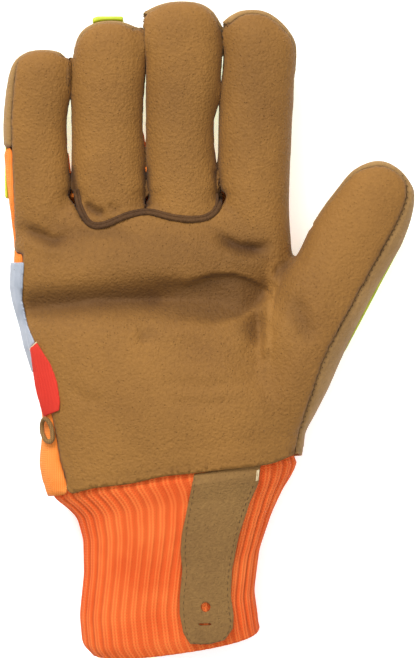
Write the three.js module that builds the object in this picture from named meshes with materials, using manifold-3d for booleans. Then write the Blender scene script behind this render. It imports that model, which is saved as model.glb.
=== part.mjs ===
// A right-hand impact glove in millimetres, lying on its back with the palm up.
// +X points to the thumb side, +Y to the fingertips and +Z out of the palm.
import * as THREE from "three";
import { mergeVertices } from "three/addons/utils/BufferGeometryUtils.js";
import Module from "manifold-3d";

const wasm = await Module();
wasm.setup();

// Driving sizes of the hand part
const palmWidth = 113;
const palmLength = 114;
const palmDepth = 36;
const palmLevel = 21;
const seamDrop = 1.5;
const trimDrop = 4;
const weltDrop = 2;
const backLevel = 4.8;
const leatherWall = 2.4;
const seamGap = 0.3;
const thinnestHalfWidth = 0.4;
const thinnestDepth = 0.3;

// Driving sizes of the fingers and the thumb
const pinkyLength = 77.5;
const pinkyWidth = 27;
const pinkyDepth = 22;
const ringLength = 91.5;
const ringWidth = 31.5;
const ringDepth = 24;
const middleLength = 99.5;
const middleWidth = 32.8;
const middleDepth = 25;
const indexLength = 100.4;
const indexWidth = 31;
const indexDepth = 24;
const thumbLength = 126.4;
const thumbWidth = 38.6;
const thumbDepth = 30;
const thumbHeading = 28;

// Driving sizes of the knitted wrist and its strap
const cuffLength = 70.5;
const cuffWidth = 104.6;
const cuffDepth = 38;
const cuffLevel = 19;
const knitWall = 3;
const ribCount = 44;
const ribRelief = 0.9;
const wristTilt = 8;
const strapThickness = 1.6;
const strapGap = 0.45;
const strapHoleRadius = 2.1;
const strapSlitLength = 5.4;
const strapSlitWidth = 0.8;

// Driving sizes of the trims
const guardThickness = 4.2;
const guardWebThickness = 1.8;
const guardStep = 2;
const guardLap = 3;
const guardSideLap = 1;
const guardLipLap = 10;
const knuckleWebDrop = 6;
const knucklePadDrop = 4;
const bandThickness = 0.9;
const labelThickness = 1;
const loopCordRadius = 0.9;
const loopFootprint = 1.35;
const weltRadius = 1.25;
const weltFootprint = 0.6;
const weltSink = 0.875;
const weltChannelWidth = 2 * weltRadius + 2 * seamGap;

// How finely the round shapes are cut
const fingerSides = 12;
const fingerSidesInside = 8;
const palmSides = 32;
const palmSidesInside = 16;
const cuffSidesInside = 20;
const pointsPerRib = 2;
const cordSides = 4;
const weltSteps = 34;
const loopSteps = 28;
const holeSteps = 4;
const smoothing = 0.1;

// Further out than any part of the glove, for cutters that are open on a side
const far = 200;

// Turns a three.js geometry into a solid.
function solidOf(geometry) {
  const bare = geometry.clone();
  bare.deleteAttribute("normal");
  bare.deleteAttribute("uv");
  const merged = mergeVertices(bare, 1e-4);
  return new wasm.Manifold(
    new wasm.Mesh({
      numProp: 3,
      vertProperties: new Float32Array(merged.attributes.position.array),
      triVerts: new Uint32Array(merged.index.array),
    }),
  );
}

// The biggest piece of a solid that a cut left in several pieces.
function mainPiece(solid) {
  const pieces = solid.decompose();
  return pieces.reduce((best, piece) => (piece.volume() > best.volume() ? piece : best));
}

// Turns a solid back into a named mesh.
function meshOf(name, solid, look) {
  const cut = mainPiece(solid.simplify(smoothing)).getMesh();
  const geometry = new THREE.BufferGeometry();
  geometry.setAttribute("position", new THREE.BufferAttribute(new Float32Array(cut.vertProperties), 3));
  geometry.setIndex(new THREE.BufferAttribute(new Uint32Array(cut.triVerts), 1));
  const mesh = new THREE.Mesh(geometry, new THREE.MeshStandardMaterial(look));
  mesh.name = name;
  return mesh;
}

// A closed solid through rings of points, each ring with as many points as the next.
function loft(rings) {
  const sides = rings[0].length;
  const last = rings.length - 1;
  const points = rings.flat();
  const middleOf = (ring) => ring.reduce((sum, p) => sum.add(p), new THREE.Vector3()).divideScalar(sides);
  const startMiddle = points.length;
  const endMiddle = points.length + 1;
  points.push(middleOf(rings[0]), middleOf(rings[last]));
  const faces = [];
  for (let i = 0; i < last; i += 1) {
    for (let j = 0; j < sides; j += 1) {
      const next = (j + 1) % sides;
      const a = i * sides + j;
      const b = i * sides + next;
      faces.push(a, a + sides, b + sides, a, b + sides, b);
    }
  }
  for (let j = 0; j < sides; j += 1) {
    const next = (j + 1) % sides;
    faces.push(startMiddle, j, next);
    faces.push(endMiddle, last * sides + next, last * sides + j);
  }
  const geometry = new THREE.BufferGeometry().setFromPoints(points);
  geometry.setIndex(faces);
  return solidOf(geometry);
}

// The palm's own frame: shares of its width across and of its length from the wrist seam up.
function onPalm(across, along) {
  return new THREE.Vector2(across * palmWidth, along * palmLength);
}

// Creases and dents of the leather, as valleys along a line that bows sideways.
// The ends are shares of the palm, bow and wide are shares of the palm's width, deep of its depth.
const folds = [
  { x0: -0.64, y0: 0.6, x1: 0.06, y1: 0.64, bow: 0.01, wide: 0.075, deep: 0.12 },
  { x0: -0.3, y0: 0.61, x1: 0.03, y1: 0.63, bow: 0, wide: 0.035, deep: 0.05 },
  { x0: 0.05, y0: 0.69, x1: 0.31, y1: 0.68, bow: 0.03, wide: 0.032, deep: 0.12 },
  { x0: 0.1, y0: 0.63, x1: 0.3, y1: 0.63, bow: -0.02, wide: 0.05, deep: 0.1 },
  { x0: 0.3, y0: 0.7, x1: 0.31, y1: 0.5, bow: -0.02, wide: 0.04, deep: 0.1 },
  { x0: 0.3, y0: 0.5, x1: 0.27, y1: 0.36, bow: 0.02, wide: 0.05, deep: 0.06 },
  { x0: 0.15, y0: 0.86, x1: 0.39, y1: 0.83, bow: -0.03, wide: 0.035, deep: 0.08 },
  { x0: -0.63, y0: 0.9, x1: -0.43, y1: 0.86, bow: -0.03, wide: 0.035, deep: 0.08 },
  { x0: -0.37, y0: 0.88, x1: -0.28, y1: 0.88, bow: -0.02, wide: 0.05, deep: 0.07 },
  { x0: -0.04, y0: 0.44, x1: 0.2, y1: 0.53, bow: 0, wide: 0.09, deep: 0.06 },
  { x0: 0.0, y0: 0.28, x1: 0.26, y1: 0.35, bow: 0.01, wide: 0.06, deep: 0.03 },
];

// How deep the leather is pressed in at a place. The inner skin's valleys are wider by a spread.
function foldDepth(place, spread) {
  let depth = 0;
  for (const fold of folds) {
    const start = onPalm(fold.x0, fold.y0);
    const line = onPalm(fold.x1, fold.y1).sub(start);
    const length = line.length();
    const ahead = line.clone().divideScalar(length);
    const from = place.clone().sub(start);
    const share = THREE.MathUtils.clamp(from.dot(ahead) / length, 0, 1);
    const bow = 4 * share * (1 - share) * fold.bow * palmWidth;
    const beyond = from.dot(ahead) - share * length;
    const aside = from.x * -ahead.y + from.y * ahead.x - bow;
    const reach = Math.hypot(beyond, aside) / (fold.wide * palmWidth + spread);
    depth += fold.deep * palmDepth * Math.exp(-reach * reach);
  }
  return depth;
}

// A limb is a named frame: its root, its heading from +Y towards +X, and its sizes.
// Its rows give shares of the length (along), of the width (aside, wide) and of the depth
// (front and back from the middle, lift of the middle), and slant of the section's plane.
function limbFrame(limb) {
  const turn = THREE.MathUtils.degToRad(limb.heading);
  return {
    ahead: new THREE.Vector2(Math.sin(turn), Math.cos(turn)),
    side: new THREE.Vector2(Math.cos(turn), -Math.sin(turn)),
  };
}

// The place of a point given along and aside in a limb's own frame, in millimetres.
function inLimb(limb, along, aside) {
  const { ahead, side } = limbFrame(limb);
  return limb.root.clone().addScaledVector(ahead, along).addScaledVector(side, aside);
}

// A power of a sine or cosine that keeps its sign, which squares off an ellipse.
function squared(value, power) {
  return Math.sign(value) * Math.abs(value) ** power;
}

// One ring of a limb, grown outwards by some millimetres.
function limbRing(limb, row, grow, sides, endShift) {
  const ring = [];
  const halfWide = Math.max((limb.width * row.wide) / 2 + grow, thinnestHalfWidth);
  const front = Math.max(limb.depth * row.front + grow, thinnestDepth);
  const back = Math.max(limb.depth * row.back + grow, thinnestDepth);
  const level = limb.level + limb.depth * row.lift;
  const spread = grow < 0 ? 2 * leatherWall : 0;
  for (let j = 0; j < sides; j += 1) {
    const angle = (2 * Math.PI * j) / sides;
    const relief = limb.relief ? limb.relief(j, grow) : 0;
    const aside = limb.width * row.aside + (halfWide - relief) * squared(Math.cos(angle), limb.power);
    const up = squared(Math.sin(angle), limb.power);
    const height = up > 0 ? up * (front - relief) : up * (back - relief);
    const along = limb.length * row.along + (row.slant ?? 0) * height + endShift;
    const place = inLimb(limb, along, aside);
    const pressed = limb.creased && up > 0 ? foldDepth(place, spread) * Math.min(1, up * 1.4) : 0;
    const lowest = (limb.flatAt ?? -far) - grow;
    ring.push(new THREE.Vector3(place.x, place.y, Math.max(level + height - pressed, lowest)));
  }
  return ring;
}

// The whole limb as a closed solid. It grows at its tip too, and at its root where it ends free.
function limbSolid(limb, grow, sides) {
  const last = limb.rows.length - 1;
  const rings = limb.rows.map((row, i) => {
    const tipShift = i >= last - limb.tipRows ? grow : 0;
    const rootShift = i === 0 && limb.freeRoot ? -grow : 0;
    return limbRing(limb, row, grow, sides, tipShift + rootShift);
  });
  return loft(rings);
}

// A flat outline raised to a prism between two heights.
function prism(outline, low, high) {
  const shape = new THREE.Shape(outline);
  const geometry = new THREE.ExtrudeGeometry(shape, { depth: high - low, bevelEnabled: false });
  geometry.translate(0, 0, low);
  return solidOf(geometry);
}

// A thin upright wall along a line of places, which cuts a slit. It is as wide as asked, and
// wider at the places where extra widths are given.
function slitAlong(places, width, low, high, extra = []) {
  const left = [];
  const right = [];
  places.forEach((place, i) => {
    const before = places[Math.max(i - 1, 0)];
    const after = places[Math.min(i + 1, places.length - 1)];
    const ahead = after.clone().sub(before).normalize();
    const half = (width + (extra[i] ?? 0)) / 2;
    const normal = new THREE.Vector2(-ahead.y, ahead.x).multiplyScalar(half);
    left.push(place.clone().add(normal));
    right.unshift(place.clone().sub(normal));
  });
  return prism([...left, ...right], low, high);
}

// A round cord along a curve, as a closed solid.
function cordAlong(points, radius, closed, steps) {
  const curve = new THREE.CatmullRomCurve3(points, closed);
  const section = new THREE.Shape().absarc(0, 0, radius, 0, 2 * Math.PI);
  const geometry = new THREE.ExtrudeGeometry(section, {
    extrudePath: curve,
    steps,
    curveSegments: cordSides,
    bevelEnabled: false,
  });
  return solidOf(geometry);
}

const joined = (solids) => solids.reduce((sum, solid) => sum.add(solid));

// The palm's body, from the wrist seam (along 0) past the roots of the fingers.
// It starts below the seam, where the wrist cut takes the spare end off.
const palm = {
  root: onPalm(0, 0),
  heading: 0,
  length: palmLength,
  width: palmWidth,
  depth: palmDepth,
  level: palmLevel,
  power: 0.78,
  flatAt: backLevel,
  creased: true,
  tipRows: 2,
  rows: [
    { along: -0.2, aside: -0.06, wide: 0.84, front: 0.46, back: 0.47, lift: 0 },
    { along: -0.1, aside: -0.065, wide: 0.9, front: 0.48, back: 0.47, lift: 0 },
    { along: 0.0, aside: -0.065, wide: 0.955, front: 0.51, back: 0.48, lift: 0 },
    { along: 0.09, aside: -0.05, wide: 0.97, front: 0.55, back: 0.48, lift: 0 },
    { along: 0.18, aside: -0.03, wide: 0.99, front: 0.585, back: 0.48, lift: 0 },
    { along: 0.27, aside: -0.035, wide: 1.01, front: 0.6, back: 0.48, lift: 0 },
    { along: 0.37, aside: -0.065, wide: 0.98, front: 0.59, back: 0.48, lift: 0 },
    { along: 0.46, aside: -0.085, wide: 1.0, front: 0.565, back: 0.48, lift: 0 },
    { along: 0.53, aside: -0.1, wide: 1.0, front: 0.545, back: 0.48, lift: 0 },
    { along: 0.58, aside: -0.115, wide: 1.0, front: 0.525, back: 0.48, lift: 0 },
    { along: 0.63, aside: -0.124, wide: 1.01, front: 0.505, back: 0.48, lift: 0 },
    { along: 0.68, aside: -0.13, wide: 1.015, front: 0.485, back: 0.48, lift: 0 },
    { along: 0.74, aside: -0.13, wide: 1.01, front: 0.46, back: 0.47, lift: 0 },
    { along: 0.81, aside: -0.12, wide: 1.03, front: 0.425, back: 0.45, lift: 0 },
    { along: 0.88, aside: -0.122, wide: 1.03, front: 0.38, back: 0.43, lift: 0 },
    { along: 0.94, aside: -0.126, wide: 1.0, front: 0.33, back: 0.4, lift: 0 },
    { along: 0.985, aside: -0.126, wide: 0.96, front: 0.26, back: 0.34, lift: -0.02 },
    { along: 1.015, aside: -0.126, wide: 0.92, front: 0.12, back: 0.2, lift: -0.03 },
  ],
};

// The shared parts of a finger's frame.
function finger(across, along, heading, length, width, depth, rows) {
  return {
    root: onPalm(across, along),
    heading,
    length,
    width,
    depth,
    level: palmLevel - seamDrop,
    power: 0.84,
    creased: true,
    tipRows: 2,
    rows,
  };
}

const pinky = finger(-0.543, 0.871, 0, pinkyLength, pinkyWidth, pinkyDepth, [
  { along: -0.12, aside: 0.12, wide: 0.9, front: 0.46, back: 0.5, lift: 0 },
  { along: 0.02, aside: 0.09, wide: 1.0, front: 0.56, back: 0.55, lift: 0.02 },
  { along: 0.19, aside: 0.03, wide: 1.0, front: 0.54, back: 0.54, lift: 0.06 },
  { along: 0.4, aside: -0.02, wide: 1.02, front: 0.5, back: 0.52, lift: 0.14 },
  { along: 0.58, aside: -0.055, wide: 1.0, front: 0.49, back: 0.5, lift: 0.22 },
  { along: 0.75, aside: 0.0, wide: 1.03, front: 0.49, back: 0.48, lift: 0.31 },
  { along: 0.88, aside: 0.047, wide: 0.99, front: 0.45, back: 0.45, lift: 0.39 },
  { along: 0.946, aside: 0.07, wide: 0.87, front: 0.39, back: 0.39, lift: 0.43 },
  { along: 0.984, aside: 0.1, wide: 0.6, front: 0.29, back: 0.29, lift: 0.45 },
  { along: 1.0, aside: 0.11, wide: 0.33, front: 0.15, back: 0.16, lift: 0.46 },
]);

const ring = finger(-0.279, 0.853, 0, ringLength, ringWidth, ringDepth, [
  { along: -0.1, aside: 0.03, wide: 0.85, front: 0.4, back: 0.48, lift: 0 },
  { along: 0.03, aside: 0.03, wide: 1.0, front: 0.52, back: 0.52, lift: 0.02 },
  { along: 0.15, aside: 0.02, wide: 0.99, front: 0.55, back: 0.53, lift: 0.05 },
  { along: 0.34, aside: -0.01, wide: 1.0, front: 0.53, back: 0.52, lift: 0.12 },
  { along: 0.52, aside: -0.025, wide: 0.965, front: 0.5, back: 0.5, lift: 0.2 },
  { along: 0.69, aside: -0.02, wide: 0.99, front: 0.49, back: 0.49, lift: 0.28 },
  { along: 0.83, aside: 0.022, wide: 1.01, front: 0.47, back: 0.47, lift: 0.35 },
  { along: 0.908, aside: 0.027, wide: 0.95, front: 0.42, back: 0.42, lift: 0.4 },
  { along: 0.963, aside: 0.027, wide: 0.77, front: 0.33, back: 0.33, lift: 0.44 },
  { along: 0.99, aside: 0.03, wide: 0.46, front: 0.22, back: 0.22, lift: 0.46 },
  { along: 1.0, aside: 0.03, wide: 0.26, front: 0.12, back: 0.12, lift: 0.47 },
]);

const middle = finger(-0.004, 0.853, 0, middleLength, middleWidth, middleDepth, [
  { along: -0.1, aside: 0.01, wide: 0.85, front: 0.36, back: 0.46, lift: 0 },
  { along: 0.03, aside: 0.01, wide: 0.98, front: 0.5, back: 0.5, lift: 0.02 },
  { along: 0.148, aside: 0.02, wide: 0.96, front: 0.54, back: 0.51, lift: 0.05 },
  { along: 0.316, aside: -0.02, wide: 0.9, front: 0.52, back: 0.5, lift: 0.12 },
  { along: 0.485, aside: -0.05, wide: 0.888, front: 0.5, back: 0.5, lift: 0.2 },
  { along: 0.633, aside: -0.006, wide: 0.968, front: 0.49, back: 0.49, lift: 0.28 },
  { along: 0.78, aside: 0.0, wide: 1.03, front: 0.48, back: 0.48, lift: 0.36 },
  { along: 0.895, aside: -0.012, wide: 1.02, front: 0.44, back: 0.44, lift: 0.42 },
  { along: 0.954, aside: -0.02, wide: 0.89, front: 0.36, back: 0.36, lift: 0.46 },
  { along: 0.987, aside: -0.012, wide: 0.59, front: 0.25, back: 0.25, lift: 0.48 },
  { along: 1.0, aside: -0.012, wide: 0.36, front: 0.13, back: 0.13, lift: 0.49 },
]);

const index = finger(0.271, 0.816, 0, indexLength, indexWidth, indexDepth, [
  { along: -0.1, aside: -0.04, wide: 0.86, front: 0.4, back: 0.5, lift: 0 },
  { along: 0.03, aside: -0.01, wide: 0.99, front: 0.55, back: 0.53, lift: 0.01 },
  { along: 0.188, aside: -0.027, wide: 0.94, front: 0.56, back: 0.53, lift: 0.04 },
  { along: 0.356, aside: -0.034, wide: 0.99, front: 0.54, back: 0.52, lift: 0.11 },
  { along: 0.523, aside: -0.02, wide: 1.01, front: 0.51, back: 0.5, lift: 0.19 },
  { along: 0.67, aside: 0.007, wide: 1.01, front: 0.49, back: 0.49, lift: 0.27 },
  { along: 0.795, aside: 0.04, wide: 1.01, front: 0.47, back: 0.47, lift: 0.33 },
  { along: 0.855, aside: 0.05, wide: 1.0, front: 0.45, back: 0.45, lift: 0.37 },
  { along: 0.9, aside: 0.015, wide: 0.93, front: 0.41, back: 0.41, lift: 0.4 },
  { along: 0.948, aside: -0.04, wide: 0.77, front: 0.34, back: 0.34, lift: 0.43 },
  { along: 0.98, aside: -0.07, wide: 0.56, front: 0.24, back: 0.24, lift: 0.45 },
  { along: 1.0, aside: -0.08, wide: 0.32, front: 0.12, back: 0.12, lift: 0.46 },
]);

const thumb = {
  ...finger(0.269, 0.135, thumbHeading, thumbLength, thumbWidth, thumbDepth, []),
  level: palmLevel + 1,
  rows: [
    { along: 0.0, aside: 0.18, wide: 0.5, front: 0.4, back: 0.4, lift: 0 },
    { along: 0.133, aside: 0.08, wide: 0.77, front: 0.58, back: 0.5, lift: 0 },
    { along: 0.25, aside: 0.03, wide: 0.86, front: 0.64, back: 0.52, lift: 0.02 },
    { along: 0.36, aside: -0.04, wide: 0.94, front: 0.66, back: 0.52, lift: 0.03 },
    { along: 0.45, aside: -0.08, wide: 0.99, front: 0.62, back: 0.52, lift: 0.05 },
    { along: 0.53, aside: -0.09, wide: 1.0, front: 0.56, back: 0.5, lift: 0.08 },
    { along: 0.625, aside: -0.093, wide: 1.0, front: 0.5, back: 0.48, lift: 0.12 },
    { along: 0.705, aside: -0.074, wide: 0.985, front: 0.46, back: 0.45, lift: 0.16 },
    { along: 0.784, aside: -0.05, wide: 0.96, front: 0.44, back: 0.42, lift: 0.2 },
    { along: 0.857, aside: -0.045, wide: 0.885, front: 0.41, back: 0.39, lift: 0.24 },
    { along: 0.917, aside: -0.054, wide: 0.8, front: 0.37, back: 0.35, lift: 0.28 },
    { along: 0.963, aside: -0.044, wide: 0.63, front: 0.3, back: 0.28, lift: 0.31 },
    { along: 0.99, aside: -0.08, wide: 0.36, front: 0.2, back: 0.19, lift: 0.33 },
    { along: 1.0, aside: -0.09, wide: 0.2, front: 0.1, back: 0.1, lift: 0.34 },
  ],
};

const fingers = [pinky, ring, middle, index];

// The knitted wrist, from inside the seam (along 0) down to its mouth.
// Its ribs are ridges of two points each.
const cuff = {
  root: onPalm(0, 0),
  heading: 180 - wristTilt,
  length: cuffLength,
  width: cuffWidth,
  depth: cuffDepth,
  level: cuffLevel,
  power: 0.85,
  flatAt: 0,
  tipRows: 0,
  relief: (j, grow) => (grow === 0 && j % pointsPerRib > 0 ? ribRelief : 0),
  rows: [
    { along: -0.05, aside: 0.025, wide: 1.01, front: 0.5, back: 0.46, lift: 0.02 },
    { along: 0.04, aside: 0.0425, wide: 1.003, front: 0.5, back: 0.46, lift: 0.02 },
    { along: 0.1, aside: 0.0315, wide: 0.937, front: 0.49, back: 0.47, lift: 0.01 },
    { along: 0.18, aside: 0.034, wide: 0.845, front: 0.47, back: 0.48, lift: 0 },
    { along: 0.32, aside: 0.058, wide: 0.77, front: 0.46, back: 0.5, lift: 0, slant: 0.04 },
    { along: 0.52, aside: 0.1, wide: 0.718, front: 0.44, back: 0.5, lift: 0, slant: 0.1 },
    { along: 0.76, aside: 0.142, wide: 0.714, front: 0.445, back: 0.5, lift: 0, slant: 0.18 },
    { along: 0.94, aside: 0.145, wide: 0.72, front: 0.45, back: 0.5, lift: 0, slant: 0.26 },
    { along: 1.0, aside: 0.125, wide: 0.69, front: 0.42, back: 0.48, lift: 0, slant: 0.27 },
  ],
};

// The wrist seam runs square to the cuff. Everything past it, on one side or the other:
function beyondWrist(toFingers, gap) {
  const edge = toFingers ? -gap : gap;
  const end = toFingers ? -2 * far : 2 * far;
  const corners = [
    inLimb(cuff, edge, -far),
    inLimb(cuff, edge, far),
    inLimb(cuff, end, far),
    inLimb(cuff, end, -far),
  ];
  return prism(toFingers ? corners.reverse() : corners, -far, far);
}

// The hand's body at some growth: the palm, the fingers and the thumb in one solid.
function hand(grow, sidesOfFinger, sidesOfPalm) {
  const limbs = [...fingers, thumb].map((limb) => limbSolid(limb, grow, sidesOfFinger));
  return joined([limbSolid(palm, grow, sidesOfPalm), ...limbs]);
}

// Slits between neighbouring fingers, from beyond the tips down to the webs: shares across and
// along the palm, and how much wider the slit is there, as a share of the palm's width.
const webLines = {
  pinkyRing: [
    [-0.409, 1.9, 0], [-0.414, 1.57, 0], [-0.422, 1.42, 0], [-0.43, 1.33, 0.005],
    [-0.432, 1.26, 0.01], [-0.425, 1.17, 0.005], [-0.42, 1.1, 0], [-0.413, 1.015, 0],
  ],
  ringMiddle: [
    [-0.16, 1.9, 0], [-0.156, 1.63, 0], [-0.138, 1.53, 0], [-0.142, 1.4, 0], [-0.144, 1.34, 0.005],
    [-0.143, 1.28, 0], [-0.139, 0.978, 0],
  ],
  middleIndex: [
    [0.149, 1.9, 0], [0.145, 1.62, 0], [0.149, 1.55, 0], [0.134, 1.4, 0], [0.121, 1.32, 0.008],
    [0.118, 1.24, 0.012], [0.12, 1.16, 0.006], [0.124, 1.1, 0], [0.134, 1.015, 0],
  ],
};
const placesOf = (pairs) => pairs.map(([across, along]) => onPalm(across, along));
const slits = joined(
  Object.values(webLines).map((line) => {
    const extra = line.map(([, , wider]) => wider * palmWidth);
    return slitAlong(placesOf(line), 2 * seamGap, -far, far, extra);
  }),
);

// The line of the rolled seam round the base of the ring and middle fingers.
const weltLine = [
  [-0.43, 1.05], [-0.41, 1.0], [-0.394, 0.962], [-0.372, 0.926], [-0.346, 0.906], [-0.316, 0.897],
  [-0.279, 0.904], [-0.23, 0.928], [-0.182, 0.944], [-0.138, 0.951], [-0.097, 0.941], [-0.05, 0.928],
  [0.007, 0.922], [0.052, 0.922], [0.093, 0.933], [0.12, 0.956], [0.136, 0.99], [0.15, 1.03],
];

// The seam between the leather front and the back, in each limb's own frame: boxes that are open
// towards the palm side. Heights are shares of the depth above the limb's middle, and left and
// right are shares of the width, where the seam comes round onto the front.
const frontSeams = [
  {
    limb: pinky,
    rows: [
      { along: -0.1, height: 0.1, left: -0.375 },
      { along: 0.6, height: 0.14, left: -0.42 },
      { along: 0.88, height: 0.1, left: -0.36 },
      { along: 0.946, height: 0.14, left: -0.3 },
      { along: 1.04, height: 0.16, left: -0.2 },
    ],
  },
  {
    limb: ring,
    rows: [
      { along: -0.1, height: 0 },
      { along: 0.6, height: 0 },
      { along: 0.85, height: 0.04 },
      { along: 0.95, height: 0.16 },
      { along: 1.1, height: 0.16 },
    ],
  },
  {
    limb: middle,
    rows: [
      { along: -0.1, height: 0 },
      { along: 0.6, height: 0 },
      { along: 0.85, height: 0.04 },
      { along: 0.95, height: 0.12 },
      { along: 1.1, height: 0.12 },
    ],
  },
  {
    limb: index,
    rows: [
      { along: -0.1, height: -0.16 },
      { along: 0.55, height: -0.12 },
      { along: 0.82, height: 0.1 },
      { along: 0.93, height: 0.2 },
      { along: 1.1, height: 0.2 },
    ],
  },
  {
    limb: thumb,
    rows: [
      { along: 0.2, height: 0, right: 0.25 },
      { along: 0.5, height: 0, right: 0.25 },
      { along: 0.72, height: 0.05, right: 0.26 },
      { along: 0.85, height: 0.1, right: 0.265 },
      { along: 0.914, height: 0.14, right: 0.24 },
      { along: 0.965, height: 0.18, right: 0.165 },
      { along: 1.04, height: 0.2, right: 0.05 },
    ],
  },
];
const lane = 0.62;

// The level of a limb's middle at a share of its length.
function levelAt(limb, along) {
  const rows = limb.rows;
  const after = Math.max(1, rows.findIndex((row) => row.along >= along));
  const to = along > 1 ? rows[rows.length - 1] : rows[after];
  const from = along > 1 ? to : rows[after - 1];
  const share = to === from ? 0 : (along - from.along) / (to.along - from.along);
  return limb.level + limb.depth * THREE.MathUtils.lerp(from.lift, to.lift, share);
}

// What is in front of a limb's seam, moved back from it by a gap.
function inFront(seam, gap) {
  const { limb } = seam;
  const rings = seam.rows.map(({ along, height, left, right }) => {
    const low = levelAt(limb, along) + limb.depth * height + gap;
    const leftEdge = (left ?? -lane) * limb.width + gap;
    const rightEdge = (right ?? lane) * limb.width - gap;
    const corner = (aside, z) => {
      const place = inLimb(limb, limb.length * along, aside);
      return new THREE.Vector3(place.x, place.y, z);
    };
    return [corner(rightEdge, low), corner(rightEdge, far), corner(leftEdge, far), corner(leftEdge, low)];
  });
  return loft(rings);
}

// The leather's outline on the palm, from the pinky's root down the left, over and up the thumb.
const palmOutline = [
  [-0.632, 0.95], [-0.632, 0.875], [-0.602, 0.83], [-0.604, 0.757], [-0.612, 0.632], [-0.591, 0.54],
  [-0.565, 0.482], [-0.491, 0.206], [-0.472, 0.11], [-0.45, -0.004], [-0.431, -0.12], [0.36, -0.02],
  [0.405, 0.081], [0.424, 0.125], [0.45, 0.21], [0.468, 0.265], [0.506, 0.379], [0.6, 0.6], [0.54, 0.77],
  [0.45, 0.95],
];
const palmSeamLevel = palmLevel - seamDrop;
const palmOutlineMiddle = onPalm(-0.1, 0.45);

// The outline drawn in towards its middle by a gap.
function outlineWithin(pairs, gap) {
  return placesOf(pairs).map((place) => {
    const inward = palmOutlineMiddle.clone().sub(place).normalize();
    return place.addScaledVector(inward, gap);
  });
}

// Everything in front of the seams, on the fingers, the thumb and the palm.
function leatherSide(gap) {
  const palmPart = prism(outlineWithin(palmOutline, gap), palmSeamLevel + gap, far);
  return joined([palmPart, ...frontSeams.map((seam) => inFront(seam, gap))]);
}

const handSolid = hand(0, fingerSides, palmSides);
const handShell = handSolid
  .subtract(hand(-leatherWall, fingerSidesInside, palmSidesInside))
  .subtract(slits)
  .intersect(beyondWrist(true, seamGap / 2));
const frontShell = handShell.intersect(leatherSide(seamGap / 2));
const backShell = handShell.subtract(leatherSide(-seamGap / 2));

// The two fingers that are sewn on above the rolled seam.
const webEnds = weltLine.slice(1, -1);
const rightOfSewn = webLines.middleIndex.slice(0, -1).toReversed();
const leftOfSewn = webLines.pinkyRing.slice(0, -1);
const aboveWelt = [...webEnds, ...rightOfSewn, ...leftOfSewn];
const sewnFingers = prism(placesOf(aboveWelt), -far, far);
const weltChannel = slitAlong(placesOf(weltLine), weltChannelWidth, palmLevel - weltDrop, far);
const betweenSewn = [...webLines.ringMiddle.slice(0, -1), [-0.139, 0.8]];
const leftOfSlit = prism(placesOf([[-1, 0.8], ...betweenSewn.toReversed(), [-1, 1.9]]), -far, far);
const sewnFronts = frontShell
  .intersect(sewnFingers)
  .subtract(weltChannel)
  .subtract(slitAlong(placesOf(betweenSewn), seamGap, -far, far));

const palmPanel = mainPiece(frontShell.subtract(sewnFingers).subtract(weltChannel));
const ringFront = mainPiece(sewnFronts.intersect(leftOfSlit));
const middleFront = mainPiece(sewnFronts.subtract(leftOfSlit));

// The height of the hand's outer skin within a little square round a place.
function skinHeight(place, half) {
  const square = [
    new THREE.Vector2(place.x - half, place.y - half),
    new THREE.Vector2(place.x + half, place.y - half),
    new THREE.Vector2(place.x + half, place.y + half),
    new THREE.Vector2(place.x - half, place.y + half),
  ];
  return handSolid.intersect(prism(square, 0, far)).boundingBox().max[2];
}

// The rolled seam lies in the channel between the palm and the two sewn fingers.
const weltPoints = placesOf(webEnds).map(
  (place) => new THREE.Vector3(place.x, place.y, skinHeight(place, weltFootprint) - weltSink),
);
const rolledSeam = cordAlong(weltPoints, weltRadius, false, weltSteps);

// The leather caps of the fingertips, on the back, with the length of each as a share.
const caps = [
  { name: "pinky_cap", limb: pinky, from: 0.47 },
  { name: "ring_cap", limb: ring, from: 0.52 },
  { name: "middle_cap", limb: middle, from: 0.54 },
  { name: "index_cap", limb: index, from: 0.52 },
];

// What lies between two shares of a limb's length, between two shares of its width.
function stretchOf(limb, from, to, left, right, low, high) {
  const corners = [
    inLimb(limb, limb.length * from, limb.width * left),
    inLimb(limb, limb.length * from, limb.width * right),
    inLimb(limb, limb.length * to, limb.width * right),
    inLimb(limb, limb.length * to, limb.width * left),
  ];
  return prism(corners, low, high);
}

// A share of a limb's length that lies past its tip.
const pastTip = 1.1;

// How far to each side of a finger's middle all of its own skin lies, as a share of its width,
// and the slightly wider reach that the back panel is cut away to.
const capReach = 0.56;
const capCutReach = 0.571;
const capSolids = caps.map(({ limb, from }) =>
  mainPiece(backShell.intersect(stretchOf(limb, from, pastTip, -capReach, capReach, -far, far))),
);
const capCuts = caps.map(({ limb, from }) => {
  const start = from - seamGap / limb.length;
  return stretchOf(limb, start, pastTip, -capCutReach, capCutReach, -far, far);
});

// The leather back of the thumb, past a line from the thumb's crotch to the wrist.
const thumbBackLine = [[0.38, 0.79], [0.315, 0.68], [0.29, 0.45], [0.31, 0.26], [0.33, -0.2]];
const thumbRegion = prism(placesOf([...thumbBackLine, [1.4, -0.2], [1.4, 1.3], [0.43, 1.3]]), -far, far);
const thumbLine = slitAlong(placesOf([[0.43, 1.3], ...thumbBackLine]), seamGap, -far, far);

const thumbBack = mainPiece(backShell.intersect(thumbRegion).subtract(thumbLine));
const backPanel = mainPiece(backShell.subtract(thumbRegion).subtract(thumbLine).subtract(joined(capCuts)));

// The knitted wrist, hollow from mouth to seam.
const knitSolid = limbSolid(cuff, 0, pointsPerRib * ribCount);
const wristKnit = knitSolid
  .subtract(limbSolid({ ...cuff, rows: endsPushedOut(cuff.rows) }, -knitWall, cuffSidesInside))
  .intersect(beyondWrist(false, seamGap / 2));

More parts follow.
